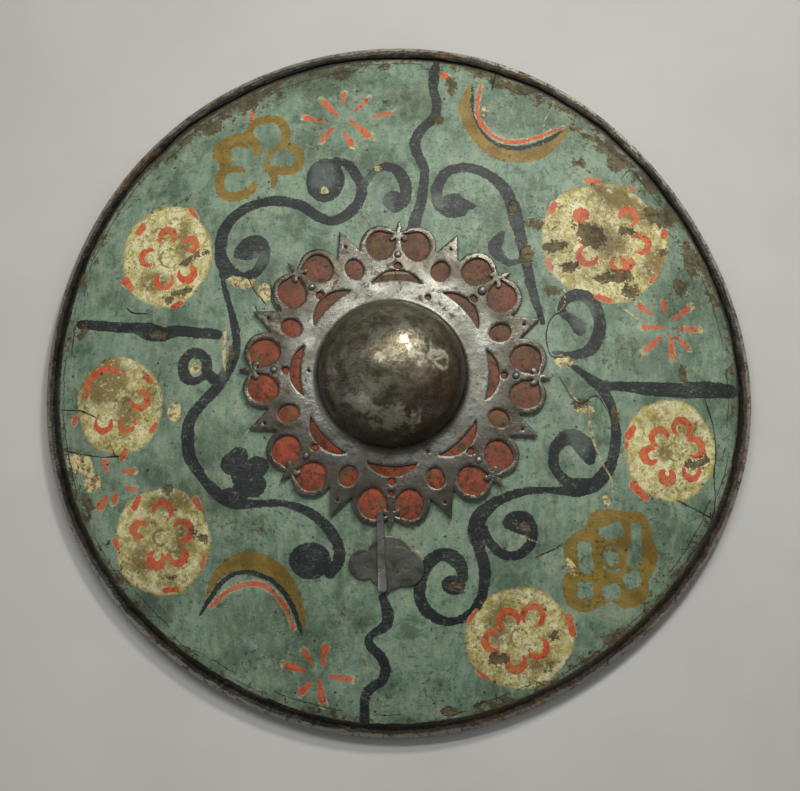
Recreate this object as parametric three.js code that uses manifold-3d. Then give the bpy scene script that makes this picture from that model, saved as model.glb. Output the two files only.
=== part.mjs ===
// A painted round shield that lies face up: a dished wooden board in an iron rim, with a pierced
// iron boss plate over red leather. Millimetres, +Z out of the painted face, +Y the shield's top.
// Angles are in degrees, clockwise from the top as one looks at the face.
import * as THREE from 'three';
import { mergeVertices } from 'three/addons/utils/BufferGeometryUtils.js';
import Module from 'manifold-3d';

const wasm = await Module();
wasm.setup();

// Driving dimensions of the board and its rim
const shieldRadius = 300;
const rimThick = 1.8;
const rimLip = 10;
const rimChamfer = 0.9;
const boardGap = 0.6;
const boardRadius = shieldRadius - rimThick - boardGap;
const boardRise = 66;
const boardThick = 8;
const handHoleRadius = 52;
const clearance = 0.4;
const ringSides = 48;
const sheetSides = 24;
const sheetRings = [66, 100, 134, 170, 220];
const gripSeat = 94;
const faceRings = [handHoleRadius, ...sheetRings, 262, boardRadius];
const backRings = [handHoleRadius, gripSeat, 150, 225, boardRadius];

// The hoop was bent by hand: each row is a wave count, its height and where its crest stands
const rimWaves = [
  { count: 2, height: 1.1, crest: 109 },
  { count: 3, height: 2.4, crest: -9.5 },
  { count: 4, height: 1.1, crest: 9.5 },
  { count: 5, height: 1.25, crest: 29 },
];

// Driving dimensions of the boss plate, its openings and what lies under it
const underlayThick = 1.2;
const plateThick = 1.8;
const plateTurn = 1.5;
const unitCount = 8;
const unitStep = 360 / unitCount;
const plateDisc = 109;
const dome = { x: -2, y: -2.5, radius: 61, height: 58, fillet: 5, brim: 70, sides: 32, steps: 5, innerSteps: 3 };
const oval = { aside: 15.4, out: 108.6, halfWidth: 11.3, halfLength: 12.8 };
const archBand = { aside: 5.3, out: 4.6 };
const saddle = { halfWidth: 10, low: 112, shoulder: 124.2, dip: 120.5 };
const crescent = { halfWidth: 21.2, inner: 78, crest: 87 };
const keyhole = { out: 90.5, radius: 3.2 };
const smallOval = { out: 94, halfWidth: 7.6, halfLength: 9 };
const ray = { tip: 130.5, base: 106, halfAngle: 24 };
const lily = { foot: 113.5, neck: 119.6, tip: 130.8, stem: 1.2, spear: 2.4, reach: 7.2, droop: 3.4 };
const flangeHoles = [
  { turn: 23.6, out: 69, radius: 2.4 },
  { turn: 157.8, out: 71.5, radius: 1.6 },
];

// Nails on the unit axes; the one at the bottom is lost and its hole is wider
const nailOut = 100.5;
const nail = { head: 3, rise: 2.2, shank: 1.3, depth: 6, sides: 6 };
const bigNailHead = 4;
const bigNailUnit = 1;
const lostNailUnit = 4;
const lostNailHole = 2.6;

// The leaf plate and the bar below the boss plate
const leafThick = 1.6;
const leaf = { x: -5.4, top: -134.5, halfWidth: 28, lobeRadius: 15, lobeY: -154, tongueTip: -181 };
const bar = { thick: 3, topX: -12.2, topY: -116, tipX: -10.3, tipY: -181, topHalf: 2.9, tipHalf: 3.9 };

// The hand grip behind the boss
const grip = { halfLength: 82, halfWidth: 12, endThick: 8, midThick: 19, chamfer: 3 };
const gripNail = { x: 70, head: 4.5, depth: 13 };

const rad = THREE.MathUtils.degToRad;
const sphereRadius = (boardRise ** 2 + boardRadius ** 2) / (2 * boardRise);
const boardFoot = rimThick + clearance;
const sphereZ = boardFoot - Math.sqrt((sphereRadius - boardThick) ** 2 - boardRadius ** 2);

// Heights over the painted face, along its normal
const underlayLift = clearance;
const plateLift = underlayLift + underlayThick + clearance;
const plateTopLift = plateLift + plateThick;
const leafLift = clearance;

// Height of the dished surface that lies LIFT over the painted face, at a distance from the axis
function dishZ(out, lift = 0) {
  return sphereZ + Math.sqrt((sphereRadius + lift) ** 2 - out ** 2);
}

// How far the hand-bent hoop departs from a true circle at a turn from the top
function hoopError(turn) {
  return rimWaves.reduce((sum, w) => sum + w.height * Math.cos(w.count * (turn - rad(w.crest))), 0);
}

function toSolid(geometry) {
  const bare = geometry.clone();
  bare.deleteAttribute('normal');
  bare.deleteAttribute('uv');
  const merged = mergeVertices(bare);
  const vertProperties = new Float32Array(merged.attributes.position.array);
  const triVerts = new Uint32Array(merged.index.array);
  return new wasm.Manifold(new wasm.Mesh({ numProp: 3, vertProperties, triVerts }));
}

function toGeometry(solid) {
  const mesh = solid.getMesh();
  const geometry = new THREE.BufferGeometry();
  geometry.setAttribute('position', new THREE.BufferAttribute(new Float32Array(mesh.vertProperties), 3));
  geometry.setIndex(Array.from(mesh.triVerts));
  geometry.computeVertexNormals();
  return geometry;
}

// Profile points are [distance from the axis, height] and run anticlockwise
function revolve(profile, sides) {
  const points = profile.map(([out, z]) => new THREE.Vector2(out, z));
  return new THREE.LatheGeometry(points, sides).rotateX(Math.PI / 2);
}

// A dished sheet of a given thickness over the painted face, from one named ring to another
function dishedSheet(firstRing, lastRing, lift, thick) {
  const rings = sheetRings.slice(firstRing, lastRing + 1);
  const under = rings.map((out) => [out, dishZ(out, lift)]);
  const over = rings.map((out) => [out, dishZ(out, lift + thick)]).reverse();
  return toSolid(revolve([...under, ...over, under[0]], sheetSides));
}

// Moves the outer part of a ring with the hoop's error, and leaves the middle round
function bendOutOfRound(geometry) {
  const place = geometry.attributes.position;
  for (let i = 0; i < place.count; i += 1) {
    const x = place.getX(i);
    const y = place.getY(i);
    const share = (Math.hypot(x, y) / shieldRadius) ** 3;
    const scale = 1 + (hoopError(Math.atan2(x, y)) / shieldRadius) * share;
    place.setXY(i, x * scale, y * scale);
  }
  return geometry;
}

// Upright prism over a flat outline, whose points are [across, out] in a unit turned clockwise
const prismLow = 20;
const prismHigh = 100;
function prism(outline, turn) {
  const shape = new THREE.Shape(outline.map(([across, out]) => new THREE.Vector2(across, out)));
  const geometry = new THREE.ExtrudeGeometry(shape, { depth: prismHigh - prismLow, bevelEnabled: false });
  return toSolid(geometry.translate(0, 0, prismLow).rotateZ(-rad(turn)));
}

function ellipse(across, out, halfWidth, halfLength, sides) {
  return Array.from({ length: sides }, (_, i) => {
    const a = ((i + 0.5) / sides) * 2 * Math.PI;
    return [across + halfWidth * Math.cos(a), out + halfLength * Math.sin(a)];
  });
}

function circle(across, out, radius, sides) {
  return ellipse(across, out, radius, radius, sides);
}

function joined(solids) {
  return solids.reduce((sum, solid) => sum.add(solid));
}

// Points of the arc through two corners, level with each other, and a crest halfway between
function arcOver(halfWidth, cornerOut, crestOut, steps) {
  const rise = crestOut - cornerOut;
  const radius = (halfWidth ** 2 + rise ** 2) / (2 * rise);
  const spread = Math.asin(halfWidth / radius);
  const points = [];
  for (let i = 0; i <= steps; i += 1) {
    const a = spread - (2 * spread * i) / steps;
    points.push([radius * Math.sin(a), crestOut - radius + radius * Math.cos(a)]);
  }
  return points;
}

// The half-moon opening: a bulge above an arc that follows the dome
function crescentOutline() {
  const corner = Math.sqrt(crescent.inner ** 2 - crescent.halfWidth ** 2);
  const bulge = arcOver(crescent.halfWidth, corner, crescent.crest, 5);
  const foot = arcOver(crescent.halfWidth, corner, crescent.inner, 2).reverse();
  return [...bulge, ...foot.slice(1, -1)];
}

// One egg-shaped opening, with its upper inner corner drawn out to the unit's axis
function archOpening(side, turn) {
  const { aside, out, halfWidth, halfLength } = oval;
  const corner = [
    [side * (aside - halfWidth), out - 5],
    [side * lily.stem, lily.neck - 1],
    [side * aside * 0.75, out + halfLength * 0.93],
    [side * aside, out],
  ];
  return prism(ellipse(side * aside, out, halfWidth, halfLength, 10), turn).add(prism(corner, turn));
}

function archOutline(side, turn) {
  const halfWidth = oval.halfWidth + archBand.aside;
  return prism(ellipse(side * oval.aside, oval.out, halfWidth, oval.halfLength + archBand.out, 12), turn);
}

// The lily tip that covers the meeting of two arches: a spear over two drooping leaves
function lilyOutline() {
  const { foot, neck, tip, stem, spear, reach, droop } = lily;
  const right = [
    [stem, foot],
    [stem, neck - droop],
    [reach * 0.8, neck - 2 * droop],
    [reach, neck - droop],
    [stem, neck],
    [spear, neck + spear],
  ];
  const left = right.map(([across, out]) => [-across, out]).reverse();
  return [...right, [0, tip], ...left];
}

function rayOutline() {
  const halfBase = (ray.tip - ray.base) * Math.tan(rad(ray.halfAngle));
  return [[-halfBase, ray.base], [halfBase, ray.base], [0, ray.tip]];
}

const unitTurns = Array.from({ length: unitCount }, (_, k) => k * unitStep + plateTurn);
const rayTurns = unitTurns.map((turn) => turn + unitStep / 2);

// The outline of the pierced plate, as an upright prism with a round hole where the dome rises
function platePrism() {
  const solids = [prism(circle(0, 0, plateDisc, sheetSides), 0)];
  const openings = [];
  const tips = [];
  const { halfWidth, low, shoulder, dip } = saddle;
  const right = [[halfWidth, low], [halfWidth, shoulder]];
  const bridge = [...right, [0, dip], [-halfWidth, shoulder], [-halfWidth, low]];
  for (const turn of unitTurns) {
    solids.push(archOutline(-1, turn), archOutline(1, turn), prism(bridge, turn));
    openings.push(archOpening(-1, turn), archOpening(1, turn), prism(crescentOutline(), turn));
    openings.push(prism(circle(0, keyhole.out, keyhole.radius, 6), turn));
    tips.push(prism(lilyOutline(), turn));
  }
  for (const turn of rayTurns) {
    solids.push(prism(rayOutline(), turn));
    openings.push(prism(ellipse(0, smallOval.out, smallOval.halfWidth, smallOval.halfLength, 8), turn));
  }
  for (const { turn, out, radius } of flangeHoles) {
    openings.push(prism(circle(0, out, radius, 6), turn));
  }
  openings.push(prism(circle(dome.x, dome.y, dome.radius + dome.fillet, dome.sides), 0));
  return joined(solids).subtract(joined(openings)).add(joined(tips));
}

// The dome and its brim, raised from the plate's flange
function domeSolid() {
  const { radius, height, fillet, brim } = dome;
  const top = dishZ(brim - fillet / 2, plateTopLift);
  const curve = (r, h, bend, steps) => {
    const points = [[brim, top + fillet - bend]];
    for (let i = 1; i >= 0; i -= 1) {
      const a = rad(45 + 45 * i);
      points.push([radius + fillet - bend * Math.cos(a), top + fillet - bend * Math.sin(a)]);
    }
    for (let i = 0; i <= steps; i += 1) {
      const a = (i / steps) * (Math.PI / 2);
      points.push([i === steps ? 0 : r * Math.cos(a), top + fillet + h * Math.sin(a)]);
    }
    return points;
  };
  const outer = curve(radius, height - fillet, fillet, dome.steps);
  const innerHeight = height - fillet - plateThick;
  const inner = curve(radius - plateThick, innerHeight, fillet + plateThick, dome.innerSteps);
  return toSolid(revolve([...inner.reverse(), ...outer], dome.sides).translate(dome.x, dome.y, 0));
}

// Where a nail stands: upright on the dished surface, at a lift over the painted face
function nailPlace(turn, out, lift) {
  const slope = Math.asin(out / sphereRadius);
  const lean = new THREE.Matrix4().makeRotationX(-slope);
  const ring = new THREE.Matrix4().makeRotationZ(-rad(turn));
  const move = new THREE.Matrix4().makeTranslation(0, out, dishZ(out, lift));
  return ring.multiply(move).multiply(lean);
}

function nailSites() {
  return unitTurns.map((turn, k) => ({
    turn,
    lost: k === lostNailUnit,
    head: k === bigNailUnit ? bigNailHead : nail.head,
  }));
}

function nailGeometry(head, depth) {
  const { rise, shank, sides } = nail;
  const under = clearance - 0.1;
  const shankProfile = [[0, -depth], [shank, -depth], [shank, under]];
  const headProfile = [[head, under], [head * 0.75, under + rise * 0.7], [0, under + rise]];
  return revolve([...shankProfile, ...headProfile], sides);
}

// A hole for a nail that stands at a place and goes in to a depth
function nailHole(place, radius, depth) {
  const bottom = -depth - clearance;
  const hole = revolve([[0, bottom], [radius, bottom], [radius, 10], [0, 10]], 6);
  return toSolid(hole.applyMatrix4(place));
}

const gripEndZ = dishZ(grip.halfLength, -boardThick) - grip.endThick;

// The grip's nails are driven from behind, so they point up
function gripNailPlace(side) {
  const turnOver = new THREE.Matrix4().makeRotationX(Math.PI);
  return new THREE.Matrix4().makeTranslation(side * gripNail.x, 0, gripEndZ).multiply(turnOver);
}

// The holes that the nails pass through, in plate, leather, grip and board
function nailHoles() {
  const radius = nail.shank + clearance;
  const plateHoles = nailSites().map(({ turn, lost }) => (
    nailHole(nailPlace(turn, nailOut, plateTopLift), lost ? lostNailHole : radius, nail.depth)
  ));
  const gripHoles = [-1, 1].map((side) => nailHole(gripNailPlace(side), radius, gripNail.depth));
  return joined([...plateHoles, ...gripHoles]);
}

const holes = nailHoles();

function boardGeometry() {
  const under = backRings.map((out) => [out, dishZ(out, -boardThick)]);
  const over = faceRings.map((out) => [out, dishZ(out)]).reverse();
  const body = bendOutOfRound(revolve([...under, ...over, under[0]], ringSides));
  return toGeometry(toSolid(body).subtract(holes));
}

// The band grips the board's edge: a back lip it lies on, a wall, and a front lip on the slope
function rimGeometry() {
  const wall = shieldRadius - rimThick;
  const lipEnd = shieldRadius - rimLip;
  const front = (out, lift) => [out, dishZ(out, clearance + lift)];
  const profile = [
    [lipEnd, 0],
    [shieldRadius - rimChamfer, 0],
    [shieldRadius, rimChamfer],
    [shieldRadius, dishZ(shieldRadius, clearance) + rimThick - rimChamfer],
    front(shieldRadius - rimChamfer, rimThick),
    front(lipEnd, rimThick),
    front(lipEnd, 0),
    front(wall, 0),
    [wall, rimThick],
    [lipEnd, rimThick],
  ];
  return bendOutOfRound(revolve([...profile, profile[0]], ringSides));
}

// Red leather: a ring with a scallop behind each arch, so that it shows only through the openings
function underlayGeometry() {
  const spare = 2.2;
  const scallops = [prism(circle(0, 0, plateDisc - 4, sheetSides), 0)];
  for (const turn of unitTurns) {
    for (const side of [-1, 1]) {
      const halfLength = oval.halfLength + spare;
      scallops.push(prism(ellipse(side * oval.aside, oval.out, oval.halfWidth + spare, halfLength, 8), turn));
    }
  }
  const sheet = dishedSheet(0, 2, underlayLift, underlayThick);
  return toGeometry(sheet.intersect(joined(scallops)).subtract(holes));
}

function plateGeometry() {
  const sheet = dishedSheet(0, 2, plateLift, plateThick);
  return toGeometry(sheet.intersect(platePrism()).add(domeSolid()).subtract(holes));
}

// Two lobes, an arched top and a tongue that points down
function leafGeometry() {
  const { x, top, halfWidth, lobeRadius, lobeY, tongueTip } = leaf;
  const aside = halfWidth - lobeRadius;
  const tongue = [[x - 9, lobeY - 6], [x - 3.5, tongueTip], [x + 1, tongueTip], [x + 7, lobeY - 8]];
  const outlines = [
    circle(x - aside, lobeY, lobeRadius, 14),
    circle(x + aside, lobeY, lobeRadius, 14),
    ellipse(x + 1, lobeY - 2, halfWidth * 0.72, top - lobeY + 2, 18),
    tongue,
  ];
  const outline = joined(outlines.map((points) => prism(points, 0)));
  return toGeometry(dishedSheet(1, 4, leafLift, leafThick).intersect(outline));
}

// A bar with a chamfered upper side, laid from the bottom arch down over the leaf plate
function barMesh(material) {
  const { thick, topX, topY, tipX, tipY, topHalf, tipHalf } = bar;
  const run = Math.hypot(tipX - topX, tipY - topY);
  const chamfer = 0.8;
  const shape = new THREE.Shape();
  shape.moveTo(-topHalf + chamfer, 0);
  shape.lineTo(topHalf - chamfer, 0);
  shape.lineTo(tipHalf - chamfer, -run + tipHalf);
  shape.absarc(0, -run + tipHalf, tipHalf - chamfer, 0, -Math.PI, true);
  const geometry = new THREE.ExtrudeGeometry(shape, {
    depth: thick - 2 * chamfer,
    bevelThickness: chamfer,
    bevelSize: chamfer,
    bevelSegments: 1,
    curveSegments: 6,
  });
  geometry.translate(0, 0, chamfer);
  const mesh = new THREE.Mesh(geometry, material);
  const topOut = Math.hypot(topX, topY);
  const tipOut = Math.hypot(tipX, tipY);
  const topZ = dishZ(topOut, plateTopLift + clearance + 0.2);
  const tipZ = dishZ(tipOut, leafLift + leafThick + clearance);
  mesh.position.set(topX, topY, topZ);
  mesh.rotation.order = 'ZXY';
  mesh.rotation.z = Math.atan2(tipX - topX, topY - tipY);
  mesh.rotation.x = Math.atan2(topZ - tipZ, run);
  return mesh;
}

// A plain bar, thicker in the middle, whose upper side is fitted to the board's hollow back
function gripGeometry() {
  const { halfLength, halfWidth, midThick, chamfer } = grip;
  const top = dishZ(0, -boardThick) + chamfer;
  const backTop = top + boardThick;
  const endZ = gripEndZ;
  const shape = new THREE.Shape();
  shape.moveTo(-halfLength, top);
  shape.lineTo(-halfLength, endZ);
  shape.lineTo(-handHoleRadius, endZ);
  shape.quadraticCurveTo(0, 2 * (top - midThick) - endZ, handHoleRadius, endZ);
  shape.lineTo(halfLength, endZ);
  shape.lineTo(halfLength, top);
  const geometry = new THREE.ExtrudeGeometry(shape, {
    depth: 2 * (halfWidth - chamfer),
    bevelThickness: chamfer,
    bevelSize: chamfer,
    bevelOffset: -chamfer,
    bevelSegments: 1,
    curveSegments: 10,
  });
  geometry.translate(0, 0, -(halfWidth - chamfer)).rotateX(Math.PI / 2);
  const back = [[0, backTop], [0, dishZ(0, -boardThick - clearance)]];
  for (const out of [handHoleRadius, gripSeat]) {
    back.push([out, dishZ(out, -boardThick - clearance)]);
  }
  back.push([gripSeat, backTop]);
  const boardBack = toSolid(revolve([...back, back[0]], ringSides));
  return toGeometry(toSolid(geometry).subtract(boardBack).subtract(holes));
}

function finish(color, roughness, metalness) {
  return new THREE.MeshStandardMaterial({ color, roughness, metalness });
}

const paintedWood = finish(0x69826f, 0.7, 0);
const rimIron = finish(0x5a5a55, 0.5, 0.8);
const plateIron = finish(0x8d8f8a, 0.35, 0.9);
const darkIron = finish(0x55524c, 0.5, 0.85);
const redLeather = finish(0xb4573f, 0.8, 0);
const bareWood = finish(0x6d5136, 0.8, 0);

const shield = new THREE.Group();

function place(name, geometry, material) {
  const mesh = new THREE.Mesh(geometry, material);
  mesh.name = name;
  shield.add(mesh);
  return mesh;
}

place('board', boardGeometry(), paintedWood);
place('rim_band', rimGeometry(), rimIron);
place('red_underlay', underlayGeometry(), redLeather);
place('boss_plate', plateGeometry(), plateIron);

nailSites().filter((site) => !site.lost).forEach(({ turn, head }, k) => {
  const mesh = place(`plate_nail_${k + 1}`, nailGeometry(head, nail.depth), plateIron);
  mesh.applyMatrix4(nailPlace(turn, nailOut, plateTopLift));
});

place('leaf_plate', leafGeometry(), darkIron);
const barPiece = barMesh(plateIron);
barPiece.name = 'bar';
shield.add(barPiece);

place('grip', gripGeometry(), bareWood);
[-1, 1].forEach((side, k) => {
  const mesh = place(`grip_nail_${k + 1}`, nailGeometry(gripNail.head, gripNail.depth), darkIron);
  mesh.applyMatrix4(gripNailPlace(side));
});

export default shield;
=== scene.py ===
# A painted round shield, lying face up: board, iron rim, red leather, pierced boss plate and its nails
import math
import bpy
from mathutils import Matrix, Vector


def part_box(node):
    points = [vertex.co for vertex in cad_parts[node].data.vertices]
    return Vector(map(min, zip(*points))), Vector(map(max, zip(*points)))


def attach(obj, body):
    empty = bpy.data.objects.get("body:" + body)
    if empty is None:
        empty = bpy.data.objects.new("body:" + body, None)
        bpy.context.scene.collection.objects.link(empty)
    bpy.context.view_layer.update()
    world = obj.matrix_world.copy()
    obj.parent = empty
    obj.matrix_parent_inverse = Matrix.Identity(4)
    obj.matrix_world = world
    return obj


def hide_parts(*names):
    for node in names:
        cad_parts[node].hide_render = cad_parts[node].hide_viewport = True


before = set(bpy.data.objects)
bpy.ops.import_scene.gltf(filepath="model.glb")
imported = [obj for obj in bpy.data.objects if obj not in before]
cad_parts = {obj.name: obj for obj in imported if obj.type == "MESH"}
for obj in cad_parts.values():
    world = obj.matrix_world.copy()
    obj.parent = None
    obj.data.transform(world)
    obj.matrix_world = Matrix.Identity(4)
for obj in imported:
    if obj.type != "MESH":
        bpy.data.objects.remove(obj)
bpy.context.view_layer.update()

from types import SimpleNamespace

import bpy
import numpy as np
from mathutils import Matrix, Vector, geometry, noise

mm = 0.001

# Sizes that the pieces share, in millimetres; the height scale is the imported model's own
shield = {
    "radius": 300.0,
    "boardRadius": 297.6,
    "rise": 66.0,
    "boardThick": 8.0,
    "handHole": 52.0,
    "foot": 2.2,
    "clearance": 0.4,
    "lipInner": 289.0,
}
# The hoop was bent by hand: wave count, height and the turn of its crest
hoopWaves = [(2, 1.1, 109.0), (3, 2.4, -9.5), (4, 1.1, 9.5), (5, 1.25, 29.0)]
sphereRadius = (shield["rise"] ** 2 + shield["boardRadius"] ** 2) / (2 * shield["rise"])
backRadius = sphereRadius - shield["boardThick"]
sphereZ = shield["foot"] - math.sqrt(backRadius ** 2 - shield["boardRadius"] ** 2)


def dishZ(out, lift=0.0):
    return sphereZ + np.sqrt((sphereRadius + lift) ** 2 - out ** 2)


def hoopScale(x, y):
    turn = np.arctan2(x, y)
    error = sum(height * np.cos(count * (turn - math.radians(crest))) for count, height, crest in hoopWaves)
    return 1 + error / shield["radius"] * (np.hypot(x, y) / shield["radius"]) ** 3


# Smooth seeded unevenness from -1 to 1, with bumps of about the given size
def unevenness(places, size, seed):
    shift = Vector((seed * 17.3, seed * 5.1, seed * 9.7))
    return np.array([noise.noise(Vector(place).to_3d() / size + shift) for place in places.tolist()])


def ease(value, low, high):
    share = np.clip((value - low) / (high - low), 0, 1)
    return share * share * (3 - 2 * share)


def away(spots, x=0.0, y=0.0):
    return np.hypot(spots[:, 0] - x, spots[:, 1] - y)


def turnsOf(sides):
    return np.linspace(0, 2 * math.pi, sides, endpoint=False)


def spun(out, turn):
    return (out * np.cos(turn)).ravel(), (out * np.sin(turn)).ravel()


# Mesh helpers

def makePiece(name, places, faces, materials, sharpAngle=40, fields=None, finish=None):
    mesh = bpy.data.meshes.new(name)
    mesh.from_pydata((np.asarray(places) * mm).tolist(), [], [list(face) for face in faces])
    for label, values in (fields or {}).items():
        layer = mesh.attributes.new(label, "FLOAT", "POINT")
        layer.data.foreach_set("value", np.asarray(values, np.float32))
    for material in materials:
        mesh.materials.append(material)
    if finish is not None:
        mesh.polygons.foreach_set("material_index", np.asarray(finish, np.int32))
    mesh.shade_smooth()
    mesh.set_sharp_from_angle(angle=math.radians(sharpAngle))
    piece = bpy.data.objects.new(name, mesh)
    bpy.context.scene.collection.objects.link(piece)
    return piece


def seat(piece, slot, *nodes):
    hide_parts(*nodes)
    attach(piece, "root")
    print(piece.name, "has", len(piece.data.polygons), "faces")


# Quads between the rings of a turned shape whose profile runs anticlockwise and closes on itself
def ringQuads(rings, sides):
    ring, side = np.meshgrid(np.arange(rings), np.arange(sides), indexing="ij")
    nextRing, nextSide = (ring + 1) % rings, (side + 1) % sides
    ring, nextRing = ring * sides, nextRing * sides
    return np.stack([ring + side, ring + nextSide, nextRing + nextSide, nextRing + side], -1).reshape(-1, 4)


# Closes a tube whose rings run one after another, with a fan over each end
def closedTube(places, rings, sides):
    first, last, second = len(places), len(places) + 1, (rings - 1) * sides
    faces = ringQuads(rings, sides)[:second].tolist()
    faces += [(first, (s + 1) % sides, s) for s in range(sides)]
    faces += [(last, second + s, second + (s + 1) % sides) for s in range(sides)]
    return np.vstack([places, places[:sides].mean(0), places[-sides:].mean(0)]), faces


# A point of a rounded oblong: a sine or cosine, pushed outwards
def squared(share, power):
    return math.copysign(abs(share) ** power, share)


# Drawing on the face: every shape raises a field to how deep a spot lies inside it, in millimetres

farOut = -12.0


def smoothCurve(points, steps):
    p = np.array(points, float)
    p = np.vstack([2 * p[0] - p[1], p, 2 * p[-1] - p[-2]])
    rows = []
    for a, b, c, d in zip(p, p[1:], p[2:], p[3:]):
        for t in np.linspace(0, 1, steps, endpoint=False):
            bend = (2 * a - 5 * b + 4 * c - d) * t + (3 * b - a - 3 * c + d) * t * t
            rows.append(b + 0.5 * t * (c - a + bend))
    rows.append(p[-2])
    return np.array(rows)


def nearestOnLine(spots, a, b):
    run = b - a
    share = np.clip((spots - a) @ run / max(run @ run, 1e-9), 0, 1)
    gap = spots - a - share[:, None] * run
    return share, np.hypot(gap[:, 0], gap[:, 1]), run[0] * gap[:, 1] - run[1] * gap[:, 0]


# A brush stroke through points of x, y and width
def brush(field, spots, points, steps=4):
    curve = smoothCurve(points, steps)
    for a, b in zip(curve, curve[1:]):
        middle, reach = (a[:2] + b[:2]) / 2, np.abs(b[:2] - a[:2]) / 2 + max(a[2], b[2]) / 2 - farOut
        near = np.flatnonzero((np.abs(spots - middle) < reach).all(1))
        share, gap, _ = nearestOnLine(spots[near], a[:2], b[:2])
        field[near] = np.maximum(field[near], (a[2] + (b[2] - a[2]) * share) / 2 - gap)


def dab(field, spots, x, y, length, lean, width):
    a = math.radians(lean)
    reach = max(length - width, 0.1) / 2
    dx, dy = reach * math.cos(a), reach * math.sin(a)
    brush(field, spots, [(x - dx, y - dy, width), (x + dx, y + dy, width * 0.8)], 1)


# A petal's C-shaped stroke, open towards a side given in degrees from +X
def petal(field, spots, x, y, radius, opening, width=5.0, gap=110):
    sweep = np.radians(np.linspace(opening + gap / 2, opening + 360 - gap / 2, 9))
    widths = width * np.array([0.45, 0.75, 0.95, 1.15, 1.2, 1.15, 0.95, 0.75, 0.45])
    points = np.stack([x + radius * np.cos(sweep), y + radius * np.sin(sweep), widths], 1)
    brush(field, spots, points, 2)


# An oval, with lobes if wanted; its depth is right at its edge and near enough inside
def egg(spots, x, y, halfWidth, halfHeight, lean=0.0, lobes=0, lobeDepth=0.0):
    a = math.radians(lean)
    dx, dy = spots[:, 0] - x, spots[:, 1] - y
    u = (dx * math.cos(a) + dy * math.sin(a)) / halfWidth
    v = (dy * math.cos(a) - dx * math.sin(a)) / halfHeight
    reach = np.hypot(u, v) + 1e-6
    steep = np.hypot(u / halfWidth, v / halfHeight) + 1e-6
    wave = lobeDepth * np.cos(lobes * np.arctan2(v, u)) if lobes else 0.0
    return np.maximum(reach * (1 - reach) / steep + wave, farOut)


def blobs(field, spots, rows):
    for row in rows:
        np.maximum(field, egg(spots, *row), out=field)


# Signed distance to a closed polygon, positive inside
def polygonDepth(spots, corners):
    corners = np.array(corners, float)
    best = np.full(len(spots), 1e9)
    inside = np.zeros(len(spots), bool)
    for a, b in zip(corners, np.roll(corners, -1, axis=0)):
        best = np.minimum(best, nearestOnLine(spots, a, b)[1])
        crosses = (a[1] > spots[:, 1]) != (b[1] > spots[:, 1])
        rise = b[1] - a[1] if abs(b[1] - a[1]) > 1e-9 else 1e-9
        inside ^= crosses & (spots[:, 0] < (b[0] - a[0]) * (spots[:, 1] - a[1]) / rise + a[0])
    return np.where(inside, best, -best)


# Node helpers

def colour(red, green, blue):
    def linear(c):
        c /= 255
        return c / 12.92 if c <= 0.04045 else ((c + 0.055) / 1.055) ** 2.4
    return (linear(red), linear(green), linear(blue), 1.0)


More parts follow.
